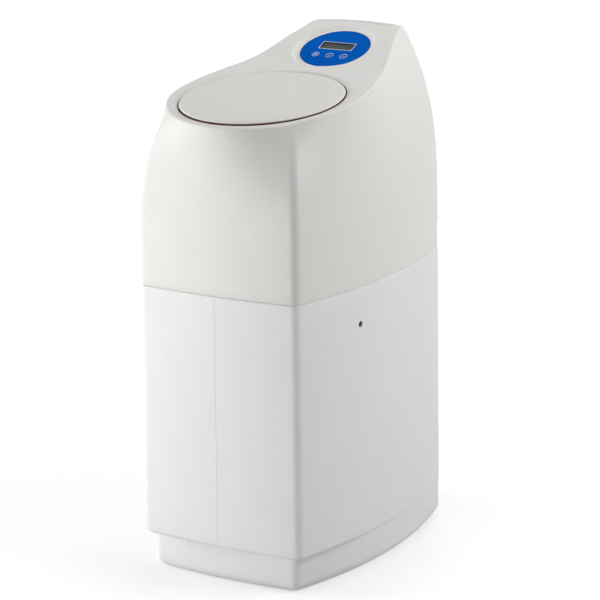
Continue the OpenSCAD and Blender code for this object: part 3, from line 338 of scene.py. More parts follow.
NODE_FINISHES = {
    brushed("zinc_plate", (0.66, 0.66, 0.67)): (
        "hood_screws", "lid_hinge_pins", "board_screws", "cover_screws", "float_rod"),
    brushed("sheet_steel", (0.62, 0.63, 0.64), (1, 0.02, 1)): ("motor_plate", "drive_motor"),
    soft_rubber("black_rubber", (0.022, 0.022, 0.022)): ("neck_seal", "rotor_seal", "tank_boot"),
    moulded("collar_moulding", (0.78, 0.775, 0.745), vary=0.02): ("hatch_collar", "well_cap"),
    moulded("tray_moulding", (0.70, 0.69, 0.66), vary=0.02): ("control_housing",),
    BLUE_FINISH: ("panel_plate",),
    KEY_FINISH: ("key_menu", "key_down", "key_up"),
    dark_display("display_glass"): ("display_window",),
    dark_display("display_module"): ("lcd_module",),
    circuit_board("circuit_board"): ("control_board",),
    moulded("black_moulding", (0.028, 0.028, 0.03), (0.4, 0.55), vary=0.15): (
        "key_switches", "power_jack", "position_switch", "injector_cap", "drain_fitting", "air_check"),
    moulded("grey_moulding", (0.32, 0.33, 0.34), vary=0.06): (
        "bottom_strainer", "top_strainer", "valve_cover", "turbine_support", "safety_valve"),
    moulded("white_tube", (0.80, 0.80, 0.78), (0.3, 0.45), vary=0.03): (
        "riser_tube", "brine_well", "pickup_tube", "salt_grid", "valve_rotor"),
    wound_fibre("wound_fibre", (0.30, 0.41, 0.56)): ("resin_tank",),
    wet_beads("resin_beads", (0.50, 0.28, 0.09)): ("resin_bed",),
    moulded("glass_filled_black", (0.045, 0.046, 0.05), (0.42, 0.6), 420.0, 0.00012, 0.2): (
        "valve_body", "bypass_body"),
    moulded("acetal", (0.84, 0.80, 0.70), (0.28, 0.4), vary=0.02): (
        "drive_gear", "motor_pinion", "turbine", "brine_elbow"),
    moulded("red_moulding", (0.50, 0.03, 0.025), (0.28, 0.4), vary=0.06): ("bypass_stem",),
    moulded("clip_moulding", (0.03, 0.15, 0.40), (0.32, 0.45), vary=0.06): ("bypass_clips",),
    moulded("float_moulding", (0.09, 0.32, 0.20), (0.35, 0.5), vary=0.05): ("brine_float",),
    moulded("hose_moulding", (0.80, 0.78, 0.71), (0.25, 0.38), vary=0.02): ("brine_hose",),
}
for finish, names in NODE_FINISHES.items():
    for name in names:
        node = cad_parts[name]
        node.data.materials.clear()
        node.data.materials.append(finish)


# Mesh helpers
def piece_of(bm, name, finish, body, replaced=(), angle=30):
    """Finished piece from a mesh drawn in millimetres."""
    bmesh.ops.scale(bm, vec=(MM, MM, MM), verts=bm.verts)
    mesh = bpy.data.meshes.new(name)
    bm.to_mesh(mesh)
    bm.free()
    mesh.materials.append(finish)
    mesh.shade_smooth()
    mesh.set_sharp_from_angle(angle=math.radians(angle))
    piece = bpy.data.objects.new(name, mesh)
    bpy.context.scene.collection.objects.link(piece)
    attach(piece, body)
    if replaced:
        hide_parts(*replaced)
    return piece


def settle(piece, angle=30):
    """Make the piece's modifiers part of its mesh and mark the sharp edges."""
    graph = bpy.context.evaluated_depsgraph_get()
    mesh = bpy.data.meshes.new_from_object(piece.evaluated_get(graph))
    mesh.name = piece.name
    piece.modifiers.clear()
    piece.data = mesh
    mesh.shade_smooth()
    mesh.set_sharp_from_angle(angle=math.radians(angle))


def thicken(piece, wall, group=""):
    """Wall of even thickness on the inner side of a skin."""
    solid = piece.modifiers.new("wall", "SOLIDIFY")
    solid.thickness = wall * MM
    solid.offset = -1.0
    solid.vertex_group = group


def soften(piece, width, segments=2, angle=38):
    """Small rounding along the sharp edges."""
    bevel = piece.modifiers.new("rounding", "BEVEL")
    bevel.width = width * MM
    bevel.segments = segments
    bevel.limit_method = "ANGLE"
    bevel.angle_limit = math.radians(angle)


def first_ring(bm, points):
    """Closed ring of corners through the given points."""
    ring = bmesh.ops.create_circle(bm, cap_ends=False, segments=len(points), radius=1.0)["verts"]
    for corner, point in zip(ring, points):
        corner.co = point
    return ring


def grow(bm, ring, points):
    """Extrude a closed ring and move its new corners to the given points."""
    edges = [bm.edges.get(pair) for pair in zip(ring, ring[1:] + ring[:1])]
    made = bmesh.ops.extrude_edge_only(bm, edges=edges)["geom"]
    fresh = {g for g in made if isinstance(g, bmesh.types.BMVert)}
    grown = [next(e.other_vert(v) for e in v.link_edges if e.other_vert(v) in fresh) for v in ring]
    for corner, point in zip(grown, points):
        corner.co = point
    return grown


FULL_TURN = 2 * math.pi
MERGE_DIST = 0.0005


def turned(bm, profile, steps, start=0.0, sweep=FULL_TURN):
    """Profile of radius and height turned about the Z axis, whole or in part."""
    first = [Vector((r * math.cos(start), r * math.sin(start), w)) for r, w in profile]
    corners = [bm.verts.new(p) for p in first]
    edges = [bm.edges.new(pair) for pair in zip(corners, corners[1:])]
    whole_turn = sweep >= FULL_TURN
    bmesh.ops.spin(bm, geom=corners + edges, cent=(0, 0, 0), axis=(0, 0, 1), angle=sweep, steps=steps,
                   use_merge=whole_turn)
    bmesh.ops.remove_doubles(bm, verts=bm.verts, dist=MERGE_DIST)
    if not whole_turn:
        bmesh.ops.holes_fill(bm, edges=bm.edges, sides=0)
    bmesh.ops.recalc_face_normals(bm, faces=bm.faces)


def prism(bm, outline, depth, matrix):
    """Outline in a plane, extruded to a depth and set in place."""
    corners = [bm.verts.new((x, y, 0)) for x, y in outline]
    face = bm.faces.new(corners)
    made = bmesh.ops.extrude_face_region(bm, geom=[face])["geom"]
    raised = [g for g in made if isinstance(g, bmesh.types.BMVert)]
    bmesh.ops.translate(bm, vec=(0, 0, depth), verts=raised)
    solid = corners + raised
    faces = {f for v in solid for f in v.link_faces}
    bmesh.ops.recalc_face_normals(bm, faces=list(faces))
    bmesh.ops.transform(bm, matrix=matrix, verts=solid)
    return solid


def rounded_edges(bm, width, segments=2, angle=30):
    """Bevel every edge that is sharper than the angle."""
    sharp = [e for e in bm.edges if len(e.link_faces) == 2 and e.calc_face_angle() > math.radians(angle)]
    bmesh.ops.bevel(bm, geom=sharp, offset=width, segments=segments, profile=0.5, affect="EDGES",
                    material=-1)


# Case shape
def mix(a, b, t):
    """Value at a share of the way from a to b."""
    return a + (b - a) * t


def ease(t):
    """Smooth step from 0 to 1."""
    t = min(1.0, max(0.0, t))
    return t * t * (3 - 2 * t)


def round_over(a, b, c, t):
    """Point on the rounding from a to c about the corner b."""
    return a * (1 - t) ** 2 + b * 2 * t * (1 - t) + c * t * t


def case_plan(d):
    """Half widths, front, back and bow of the case's plan, set in by a distance."""
    return FRONT_HALF - d, BACK_HALF - d, Y_FRONT + d, Y_BACK - d, SIDE_BOW


def plinth_plan(d):
    """The same of the plinth."""
    return (FRONT_HALF - PLINTH_IN - d, BACK_HALF - PLINTH_BACK - d,
            Y_FRONT + PLINTH_IN + d, Y_BACK - PLINTH_BACK - d, SIDE_BOW + PLINTH_BOW)


def front_at(p, t):
    """Point along the bowed front of a plan, from left to right."""
    return Vector((mix(-p[0], p[0], t), p[2] - 4 * FRONT_BOW * t * (1 - t)))


def side_at(p, t):
    """Point along the right side, from front to back."""
    return Vector((mix(p[0], p[1], t) + 4 * p[4] * t * (1 - t), mix(p[2], p[3], t)))


def back_at(p, t):
    """Point along the back, from right to left."""
    return Vector((mix(p[1], -p[1], t), p[3] + 4 * BACK_BOW * t * (1 - t)))


SEAM_X, SEAM_END = (0.0, 0.6, 1.4), 4.0
FRONT_DIP, DIP_END, DIP_RUN = 3.0, -180.0, 45.0
RIDGE_CROWN, CROWN_START, CROWN_RUN, CROWN_HALF = 4.0, 120.0, 60.0, 85.0
FRONT_N, CORNER_N, SIDE_N, BACK_N = 24, 10, 64, 16


def half_plan(p):
    """Right half of the case plan, from the middle of the front to the middle of the back."""
    tf, tb = FRONT_CORNER / (2 * p[0]), BACK_CORNER / (2 * p[1])
    sf, sb = FRONT_CORNER / (p[3] - p[2]), BACK_CORNER / (p[3] - p[2])
    near = 0.5 + SEAM_END / (2 * p[0])
    points = [front_at(p, 0.5 + x / (2 * p[0])) for x in SEAM_X]
    points += [front_at(p, mix(near, 1 - tf, i / FRONT_N)) for i in range(FRONT_N)]
    start, corner, end = front_at(p, 1 - tf), Vector((p[0], p[2])), side_at(p, sf)
    points += [round_over(start, corner, end, i / CORNER_N) for i in range(CORNER_N)]
    points += [side_at(p, mix(sf, 1 - sb, i / SIDE_N)) for i in range(SIDE_N)]
    start, corner, end = side_at(p, 1 - sb), Vector((p[1], p[3])), back_at(p, tb)
    points += [round_over(start, corner, end, i / CORNER_N) for i in range(CORNER_N)]
    return points + [back_at(p, mix(tb, 0.5, i / BACK_N)) for i in range(BACK_N + 1)]


def whole(half):
    """Whole ring from its right half."""
    return half + [Vector((-p.x, p.y, p.z)) for p in half[-2:0:-1]]


def level_ring(half, z):
    """Whole level ring at a height."""
    return whole([Vector((q.x, q.y, z)) for q in half])


def swoop(y):
    """Top line of the hood at a depth."""
    if y <= FLAT_END:
        return RIM_H + (y - Y_FRONT) * math.tan(LID_A)
    if y <= BEND_END:
        slope = math.asin(math.sin(LID_A) + (y - FLAT_END) / BEND_R)
        return FLAT_END_Z + BEND_R * (math.cos(LID_A) - math.cos(slope))
    if y <= RIDGE_START:
        return BEND_END_Z + (y - BEND_END) * math.tan(PANEL_A)
    if y <= RIDGE_END:
        slope = math.asin(math.sin(PANEL_A) - (y - RIDGE_START) / RIDGE_R)
        return RIDGE_START_Z + RIDGE_R * (math.cos(slope) - math.cos(PANEL_A))
    return RIDGE_END_Z - (y - RIDGE_END) * math.tan(RIDGE_FALL)


def on_top(x, y):
    """Point on the top of the hood, which dips at the front and falls off towards the ends of the ridge."""
    dip = FRONT_DIP * ease((DIP_END - y) / DIP_RUN)
    crown = RIDGE_CROWN * ease((y - CROWN_START) / CROWN_RUN) * (x / CROWN_HALF) ** 2
    return Vector((x, y, swoop(y) - dip - crown))


def rim_at(q):
    """Point on the top edge above a point of the case plan."""
    if q.y < RIM_CENTRE_Y:
        a = math.atan2(q.x, RIM_CENTRE_Y - q.y)
        return Vector((RIM_HALF * math.sin(a), RIM_CENTRE_Y - RIM_DEPTH * math.cos(a)))
    y = RIM_CENTRE_Y + (q.y - RIM_CENTRE_Y) * BACK_PULL
    t = (q.y - Y_FRONT) / (Y_BACK - Y_FRONT)
    half = mix(FRONT_HALF, BACK_HALF, t) + 4 * SIDE_BOW * t * (1 - t)
    top_half = RIM_HALF - (RIM_HALF - NAPE_HALF) * ease((y - Y_FRONT - TAPER_START) / TAPER_LEN)
    return Vector((q.x * top_half / half, y))


# Hood
LEAN_STEPS, LEAN_CROWD, ROUND_STEPS, CROSS, NAPE_STEPS = 26, 0.8, 6, 36, 8
SEAM_GAP, WALL_LEVELS = 0.5, (496.0, 520.0, 546.0, SHOULDER_H)
FRONT_ROUND, BACK_ROUND, EDGE_HOLD = 3.0, 2.6, 0.8
ROUND_START, ROUND_RUN, RIDGE_PAST = -220.0, 90.0, 10.0
COVE_W, COVE_SPREAD, COVE_SHARES = 4.4, 9.6, (0.3, 0.55, 0.75, 0.9, 1.0)
HATCH_EDGE, HATCH_SEAT, HATCH_LEAST = -3.3, -3.6, 0.08
RECESS_EDGE, RECESS_ROOM, RECESS_LEAST = -6.3, 3.4, 0.06
RECESS_W, RECESS_L = PLATE_HALF_W + RECESS_ROOM, PLATE_HALF_L + RECESS_ROOM
SLOPE_W, SLOPE_SPREAD, SLOPE_SHARES = 6.6, 5.4, (0.08, 0.45, 0.94, 1.0)
SLOT_FROM_Y, SLOT_INNER_Y, SLOT_OVER = 150.0, 200.0, 40.0


def hood_level(base, top, shares):
    """Ring of the hood, each point at its own share of the way up from the shoulder."""
    return whole([Vector((*b.lerp(t, f ** LEAN), mix(SHOULDER_H, on_top(*t).z, f)))
                  for b, t, f in zip(base, top, shares)])


def edge_round(t):
    """Rounding of the top edge, softer at the front than at the sides and back."""
    return mix(FRONT_ROUND, BACK_ROUND, ease((t.y - ROUND_START) / ROUND_RUN))


def set_in(ring, widths):
    """Ring on the top of the hood, moved inward along it."""
    count = len(ring)
    moved = []
    for i, (p, by) in enumerate(zip(ring, widths)):
        run = ring[(i + 1) % count] - ring[i - 1]
        out = Vector((run.y, -run.x)).normalized()
        moved.append(on_top(p.x - out.x * by, p.y - out.y * by))
    return moved


def cross_line(bm, right, left):
    """Line of corners across the top between two corners of the rim, without its ends."""
    line = [right]
    for i in range(1, CROSS):
        corner = bmesh.ops.extrude_vert_indiv(bm, verts=line[-1:])["verts"][0]
        corner.co = right.co.lerp(left.co, i / CROSS)
        line.append(corner)
    bm.edges.new((line[-1], left))
    return line[1:]


def fill_towards(bm, loop, goals, shares):
    """Rings on the top of the hood from a loop towards goal points."""
    start = [v.co.copy() for v in loop]
    for share in shares:
        points = [on_top(*a.xy.lerp(b.xy, share)) for a, b in zip(start, goals)]
        loop = grow(bm, loop, points)
    return loop


def hatch_angle(p):
    """Angle of a point about the middle of the hatch."""
    q = ON_LID.inverted() @ p
    return math.atan2(q.y / LID_HALF_L, q.x / LID_HALF_W)


def cove_point(a, share):
    """Point on the hollow around the hatch, from the top of the hood down to the edge of the opening."""
    width = COVE_W + COVE_SPREAD * math.cos(a) ** 2
    reach = LID_GAP + width * (1 - share)
    flat = ON_LID @ Vector(((LID_HALF_W + reach) * math.cos(a), (LID_HALF_L + reach) * math.sin(a), 0))
    shelf = on_top(flat.x, flat.y).z - flat.z
    fall = mix(1 - math.cos(share * math.pi / 2), share, math.cos(a) ** 2)
    return flat + Vector((0, 0, mix(shelf, HATCH_EDGE, fall)))


def panel_angle(p):
    """Angle of a point about the middle of the panel."""
    q = ON_PANEL.inverted() @ p
    return math.atan2(q.y / PLATE_HALF_L, q.x / PLATE_HALF_W)


def recess_point(a, share):
    """Point on the sloping border of the panel recess, from the top of the hood down to its floor."""
    width = SLOPE_W + SLOPE_SPREAD * max(0.0, -math.sin(a))
    u, v = (RECESS_W + width) * math.cos(a), (RECESS_L + width) * math.sin(a)
    y = PANEL_Y + v * math.cos(PANEL_A)
    for _ in range(12):
        w = (ON_PANEL.inverted() @ on_top(u, y)).z
        y = PANEL_Y + v * math.cos(PANEL_A) - w * math.sin(PANEL_A)
    low = ON_PANEL @ Vector((RECESS_W * math.cos(a), RECESS_L * math.sin(a), RECESS_EDGE))
    return on_top(u, y).lerp(low, share)


def build_hood():
    """Upper cover: leaning walls, soft rim, the cove of the hatch, the recess of the panel and the nape."""
    bm = bmesh.new()
    walls = bm.verts.layers.deform.verify()
    base = half_plan(case_plan(0))
    top = [rim_at(q) for q in base]
    ring = first_ring(bm, level_ring(base, SEAM_H + SEAM_GAP))
    for z in WALL_LEVELS:
        ring = grow(bm, ring, level_ring(base, z))
    rounds = [edge_round(t) for t in top]
    heights = [on_top(*t).z - SHOULDER_H for t in top]
    last = [1 - r / h for r, h in zip(rounds, heights)]
    for i in range(1, LEAN_STEPS):
        ring = grow(bm, ring, hood_level(base, top, [f * (i / LEAN_STEPS) ** LEAN_CROWD for f in last]))
    ring = grow(bm, ring, hood_level(base, top, [f - EDGE_HOLD / h for f, h in zip(last, heights)]))
    ring = grow(bm, ring, hood_level(base, top, last))
    wall, rim = hood_level(base, top, last), hood_level(base, top, [1.0] * len(top))
    widths = rounds + rounds[-2:0:-1]
    inner = set_in(rim, widths)
    for i in range(1, ROUND_STEPS + 1):
        ring = grow(bm, ring, [round_over(a, b, c, i / ROUND_STEPS) for a, b, c in zip(wall, rim, inner)])
    ring = grow(bm, ring, set_in(rim, [w + EDGE_HOLD for w in widths]))

    count, half = len(ring), len(base)
    bend = min(range(half), key=lambda i: abs(ring[i].co.y - FLAT_END))
    ridge = min(range(half), key=lambda i: abs(ring[i].co.y - RIDGE_START - RIDGE_PAST))
    bend_line = cross_line(bm, ring[bend], ring[count - bend])
    ridge_line = cross_line(bm, ring[ridge], ring[count - ridge])

    loop = ring[count - bend:] + ring[:bend + 1] + bend_line
    angles = [hatch_angle(v.co) for v in loop]
    loop = fill_towards(bm, loop, [cove_point(a, 0.0) for a in angles], (0.5, 1.0))
    for share in COVE_SHARES:
        loop = grow(bm, loop, [cove_point(a, share) for a in angles])
        for v in loop:
            room = (ON_LID.inverted() @ v.co).z - HATCH_SEAT
            v[walls][0] = max(HATCH_LEAST, min(1.0, room / HOOD_WALL))

    loop = ring[bend:ridge + 1] + ridge_line + ring[count - ridge:count - bend + 1] + bend_line[::-1]
    angles = [panel_angle(v.co) for v in loop]
    loop = fill_towards(bm, loop, [recess_point(a, 0.0) for a in angles], (0.25, 0.5, 0.75, 1.0))
    smooth_top = set(bm.faces)
    for share in SLOPE_SHARES:
        loop = grow(bm, loop, [recess_point(a, share) for a in angles])
        for v in loop:
            v[walls][0] = 1.0 if share == SLOPE_SHARES[0] else RECESS_LEAST
    # The faces of the recess slope take the second, paler finish: painted light on that slope.
    for face in set(bm.faces) - smooth_top:
        face.material_index = 1

    loop = ring[ridge:count - ridge + 1] + ridge_line[::-1]
    middle = on_top(0, mix(RIDGE_START, ring[half - 1].co.y, 0.5))
    loop = fill_towards(bm, loop, [middle] * len(loop), [i / NAPE_STEPS for i in range(1, NAPE_STEPS + 1)])
    bmesh.ops.pointmerge(bm, verts=loop, merge_co=middle)

    cut_pipe_slot(bm)
    for v in bm.verts:
        if 0 not in v[walls]:
            v[walls][0] = 1.0
    face_outward(bm)
    hood = piece_of(bm, "hood_shell", HOOD_FINISH, "case", ("hood",))
    # Second slot: the paler copy of the hood moulding, painted light for the recess slope.
    hood.data.materials.append(RECESS_PAINTED_LIGHT_FINISH)
    hood.vertex_groups.new(name="wall")
    thicken(hood, HOOD_WALL, "wall")
    soften(hood, 0.7)
    settle(hood)


def face_outward(bm):
    """Turn the faces of a skin outwards."""
    bmesh.ops.recalc_face_normals(bm, faces=bm.faces)
    front = min(bm.faces, key=lambda f: f.calc_center_median().y)
    if front.normal.y > 0:
        bmesh.ops.reverse_faces(bm, faces=bm.faces)


def cut_pipe_slot(bm):
    """Open the back of the hood for the pipes, with two round corners."""
    planes = [(Vector((SLOT_HALF, 0, 0)), Vector((1, 0, 0))), (Vector((0, 0, SLOT_TOP)), Vector((0, 0, 1)))]
    centre = Vector((SLOT_HALF - SLOT_R, 0, SLOT_TOP - SLOT_R))
    for a in (15, 30, 45, 60, 75):
        out = Vector((math.cos(math.radians(a)), 0, math.sin(math.radians(a))))
        planes.append((centre + out * SLOT_R, out))
    planes += [(Vector((-c.x, c.y, c.z)), Vector((-n.x, n.y, n.z))) for c, n in planes]
    for place, out in planes:
        middles = {f: f.calc_center_median() for f in bm.faces}
        faces = [f for f, m in middles.items() if m.y > SLOT_FROM_Y and m.z < SLOT_TOP + SLOT_OVER]
        edges = {e for f in faces for e in f.edges}
        corners = {v for f in faces for v in f.verts}
        geometry = list(corners) + list(edges) + faces
        bmesh.ops.bisect_plane(bm, geom=geometry, plane_co=place, plane_no=out, dist=0.001)
    inside = [f for f in bm.faces if f.calc_center_median().y > SLOT_INNER_Y
              and all((f.calc_center_median() - c).dot(n) < 0 for c, n in planes)]
    bmesh.ops.delete(bm, geom=inside, context="FACES")


# Cabinet
SEAM_LINE = 0.4
PLINTH_LEVELS = (36.0, STEP_H - 1.5)
UNDER_SHARE, EDGE_SHARE = 0.06, 0.3
BODY_STEPS, TOP_DRAFT, LIP_DROP = 20, 0.5, 3.0
LIP_STEPS = ((-0.35, 1.6), (0.1, 0.7), (0.8, 0.2), (1.8, 0.0), (LIP_IN, 0.0), (LIP_IN, -LIP_H))


def build_cabinet():
    """Lower tank: round foot, plinth, step, drafted walls with a parting line, and a lip for the hood."""
    bm = bmesh.new()
    quarter = [math.radians(a) for a in range(0, 91, 10)]
    plinth, body = half_plan(plinth_plan(0)), half_plan(case_plan(-DRAFT))

    def body_ring(d, z):
        points = level_ring(half_plan(case_plan(d)), z)
        points[0].y -= SEAM_LINE
        return points

    ring = first_ring(bm, level_ring(half_plan(plinth_plan(FOOT_R)), 0))
    bmesh.ops.contextual_create(bm, geom=[bm.edges.get(p) for p in zip(ring, ring[1:] + ring[:1])])
    for a in quarter[1:]:
        ring = grow(bm, ring, level_ring(half_plan(plinth_plan(FOOT_R * (1 - math.sin(a)))),
                                         FOOT_R * (1 - math.cos(a))))
    for z in PLINTH_LEVELS:
        ring = grow(bm, ring, level_ring(plinth, z))
    under = [p.lerp(b, UNDER_SHARE) for p, b in zip(plinth, body)]
    ring = grow(bm, ring, level_ring(under, STEP_H))
    for a in quarter:
        share = mix(EDGE_SHARE, 1.0, math.sin(a))
        step = [p.lerp(b, share) for p, b in zip(plinth, body)]
        points = level_ring(step, STEP_H + EDGE_H * (1 - math.cos(a)))
        points[0].y -= SEAM_LINE * math.sin(a)
        ring = grow(bm, ring, points)
    low, high = STEP_H + EDGE_H, SEAM_H - LIP_DROP
    for i in range(1, BODY_STEPS + 1):
        rise = i / BODY_STEPS
        ring = grow(bm, ring, body_ring(mix(-DRAFT, -TOP_DRAFT, rise), mix(low, high, rise)))
    for d, z in LIP_STEPS:
        ring = grow(bm, ring, level_ring(half_plan(case_plan(d)), SEAM_H - z))
    face_outward(bm)
    cabinet = piece_of(bm, "cabinet_shell", CABINET_FINISH, "case", ("cabinet",))
    thicken(cabinet, CABINET_WALL)
    drill(cabinet)
    soften(cabinet, 0.6)
    settle(cabinet)


def drill(cabinet):
    """Overflow hole through the right side."""
    bm = bmesh.new()
    across = Matrix.Translation(OVERFLOW) @ Matrix.Rotation(math.pi / 2, 4, "Y")
    bmesh.ops.create_cone(bm, cap_ends=True, segments=40, radius1=OVERFLOW_R, radius2=OVERFLOW_R,
                          depth=40.0, matrix=across)
    bmesh.ops.scale(bm, vec=(MM, MM, MM), verts=bm.verts)
    mesh = bpy.data.meshes.new("overflow_drill")
    bm.to_mesh(mesh)
    bm.free()
    tool = bpy.data.objects.new("overflow_drill", mesh)
    bpy.context.scene.collection.objects.link(tool)
    cut = cabinet.modifiers.new("overflow", "BOOLEAN")
    cut.operation = "DIFFERENCE"
    cut.solver = "EXACT"
    cut.object = tool
    settle(cabinet)
    bpy.data.objects.remove(tool)


build_hood()
build_cabinet()


# Salt hatch
LID_SINK = 1.7
LID_FOOT, LID_RIM = -4.0, -1.0
GASKET_FOOT, GASKET_LIP = -5.28, -1.9
GASKET_RUNS = ((102.3, 437.7, 150), (82.2, 97.8, 8))
HUB_R, ARM_DROP, ARM_T, ARM_ROUND = 5.0, 25.0, 6.0, 3.0
POST_BACK, POST_FRONT = 29.0, 37.0


def sink_rear(bm, low, high):
    """Lower the top of a piece towards the rear of the hatch, and leave its foot where it is."""
    for v in bm.verts:
        rear = (1 + v.co.y / LID_HALF_L) / 2
        v.co.z -= LID_SINK * rear * min(1.0, max(0.0, (v.co.z - low) / (high - low)))


def build_lid():
    """Crowned oval lid with a stiffening rib below, and two arms down to the hinge."""
    bm = bmesh.new()
    profile = [(0, 1.9), (60, 1.85), (110, 1.75), (130, 1.6), (134.2, 1.35), (136.2, 0.9), (137.4, 0.3),
               (138.1, -0.4), (138.4, LID_RIM), (138.2, -1.25), (137.6, -1.35), (134.6, -1.4),
               (134.4, LID_FOOT), (123, -4.1), (122.7, -9.3), (122.2, -9.6), (121, -9.6), (120.5, -9.3),
               (120.2, -4.1), (0, -4.1)]
    turned(bm, profile, 160)
    bmesh.ops.scale(bm, vec=(1, LID_HALF_L / LID_HALF_W, 1), verts=bm.verts)
    sink_rear(bm, LID_FOOT, LID_RIM)
    low, back, front = HINGE_W - ARM_DROP, HINGE_V - POST_BACK, HINGE_V - POST_FRONT
    hub = [(HINGE_V + HUB_R * math.cos(math.radians(a)), HINGE_W + HUB_R * math.sin(math.radians(a)))
           for a in range(-25, 206, 10)]
    outline = hub + [(HINGE_V - 4.5, low + ARM_T), (back, low + ARM_T), (back, LID_FOOT), (front, LID_FOOT),
                     (front, low + ARM_ROUND), (front + ARM_ROUND, low), (HINGE_V + 1.5, low),
                     (HINGE_V + 4.5, low + ARM_ROUND)]
    upright = Matrix(((0, 0, 1, 0), (1, 0, 0, 0), (0, 1, 0, 0), (0, 0, 0, 1)))
    for x in (-ARM_X, ARM_X):
        prism(bm, outline, ARM_W, Matrix.Translation((x - ARM_W / 2, 0, 0)) @ upright)
    bmesh.ops.transform(bm, matrix=ON_LID, verts=bm.verts)
    lid = piece_of(bm, "hatch_lid", LID_FINISH, "lid", ("salt_lid",))
    soften(lid, 0.5, 2, 50)
    settle(lid)


def build_gasket():
    """Rubber strip under the lid, open where the hinge arms pass."""
    bm = bmesh.new()
    profile = [(134.9, GASKET_FOOT), (134.9, -4.5), (135.3, -4.3), (136.4, -4.3), (137.0, -3.4),
               (137.4, -2.4), (138.2, GASKET_LIP), (139.4, GASKET_LIP), (140.1, -2.5),
               (140.3, GASKET_FOOT), (134.9, GASKET_FOOT)]
    for start, stop, steps in GASKET_RUNS:
        strip = bmesh.new()
        turned(strip, profile, steps, math.radians(start), math.radians(stop - start))
        mesh = bpy.data.meshes.new("strip")
        strip.to_mesh(mesh)
        strip.free()
        bm.from_mesh(mesh)
        bpy.data.meshes.remove(mesh)
    bmesh.ops.scale(bm, vec=(1, LID_HALF_L / LID_HALF_W, 1), verts=bm.verts)
    sink_rear(bm, GASKET_FOOT, GASKET_LIP)
    bmesh.ops.transform(bm, matrix=ON_LID, verts=bm.verts)
    piece_of(bm, "lid_gasket", GASKET_FINISH, "case", ("lid_seal",))


build_lid()
build_gasket()


# Control panel
BORDER_IN, BORDER_OUT = PLATE_HALF_W + 0.05, PLATE_HALF_W + 3.7
BORDER_LOW, BORDER_TOP = PLATE_TOP - 0.15, PLATE_TOP + 0.75
FRAME_OVER, FRAME_W, FRAME_H, FRAME_ROUND = 0.4, 0.95, 0.45, 0.18
RING_IN, RING_OUT, PRINT_H = 5.6, 6.6, 0.1


def build_panel_border():
    """Pale trim around the blue plate."""
    bm = bmesh.new()
    profile = [(BORDER_IN, BORDER_LOW), (BORDER_IN, BORDER_TOP - 0.25),
               (BORDER_IN + 0.25, BORDER_TOP - 0.05), (BORDER_OUT - 0.3, BORDER_TOP),
               (BORDER_OUT, BORDER_TOP - 0.15), (BORDER_OUT, BORDER_LOW), (BORDER_IN, BORDER_LOW)]
    turned(bm, profile, 128)
    bmesh.ops.scale(bm, vec=(1, PLATE_HALF_L / PLATE_HALF_W, 1), verts=bm.verts)
    bmesh.ops.transform(bm, matrix=ON_PANEL, verts=bm.verts)
    piece_of(bm, "panel_border", BORDER_FINISH, "case")


def build_window_frame():
    """Thin pale frame around the display."""
    bm = bmesh.new()
    outer = bmesh.ops.create_grid(bm, x_segments=1, y_segments=1, size=0.5)["verts"]
    bmesh.ops.scale(bm, vec=(WINDOW_W + FRAME_OVER, WINDOW_H + FRAME_OVER, 1), verts=outer)
    made = bmesh.ops.inset_region(bm, faces=bm.faces[:], thickness=FRAME_W, use_even_offset=True,
                                  use_boundary=True)
    middle = [f for f in bm.faces if f not in set(made["faces"])]
    bmesh.ops.delete(bm, geom=middle, context="FACES")
    made = bmesh.ops.extrude_face_region(bm, geom=bm.faces[:])["geom"]
    raised = [g for g in made if isinstance(g, bmesh.types.BMVert)]
    bmesh.ops.translate(bm, vec=(0, 0, FRAME_H), verts=raised)
    bmesh.ops.recalc_face_normals(bm, faces=bm.faces)
    rounded_edges(bm, FRAME_ROUND)
    bmesh.ops.transform(bm, matrix=ON_PANEL @ Matrix.Translation((0, WINDOW_V, PLATE_TOP)), verts=bm.verts)
    piece_of(bm, "window_frame", FRAME_FINISH, "case")


def build_icon(name, body, x, outlines):
    """Pale print on a key: a ring and a simple sign inside it."""
    bm = bmesh.new()
    turned(bm, [(RING_IN, 0), (RING_IN, PRINT_H), (RING_OUT, PRINT_H), (RING_OUT, 0), (RING_IN, 0)], 64)
    for outline in outlines:
        prism(bm, outline, PRINT_H, Matrix.Identity(4))
    bmesh.ops.transform(bm, matrix=ON_PANEL @ Matrix.Translation((x, KEY_V, KEY_TOP)), verts=bm.verts)
    piece_of(bm, name, ICON_FINISH, body)


def bar(y, half, thick=1.1):
    """Outline of a level bar."""
    return [(-half, y - thick / 2), (half, y - thick / 2), (half, y + thick / 2), (-half, y + thick / 2)]


def chevron(sign):
    """Outline of an arrow head that points up, or down with a sign of -1."""
    outline = ((-2.7, -1.1), (0, 1.6), (2.7, -1.1), (2.7, 0.1), (0, 2.8), (-2.7, 0.1))
    return [(x, sign * y) for x, y in outline]


build_panel_border()
build_window_frame()
build_icon("menu_icon", "menu_key", KEY_X[0],
           [bar(-2.7, 2.4), bar(-0.9, 3.5), bar(0.9, 3.5), bar(2.7, 2.4)])
build_icon("down_icon", "down_key", KEY_X[1], [[(x, y + 1) for x, y in chevron(-1)][::-1]])
build_icon("up_icon", "up_key", KEY_X[2], [[(x, y - 1) for x, y in chevron(1)]])


# Floor and light, in metres and watts
FLOOR_HALF, FLOOR_DARK, FLOOR_PALE = 15.0, (0.55, 0.55, 0.55), (0.57, 0.57, 0.57)
FADE_R, FAR_GLOW, NEAR_GLOW = 4.0, 0.92, 0.48
SKY_LIGHT, SKY_SEEN = 0.15, 1.0
MIDDLE = (0, 0, 0.45)


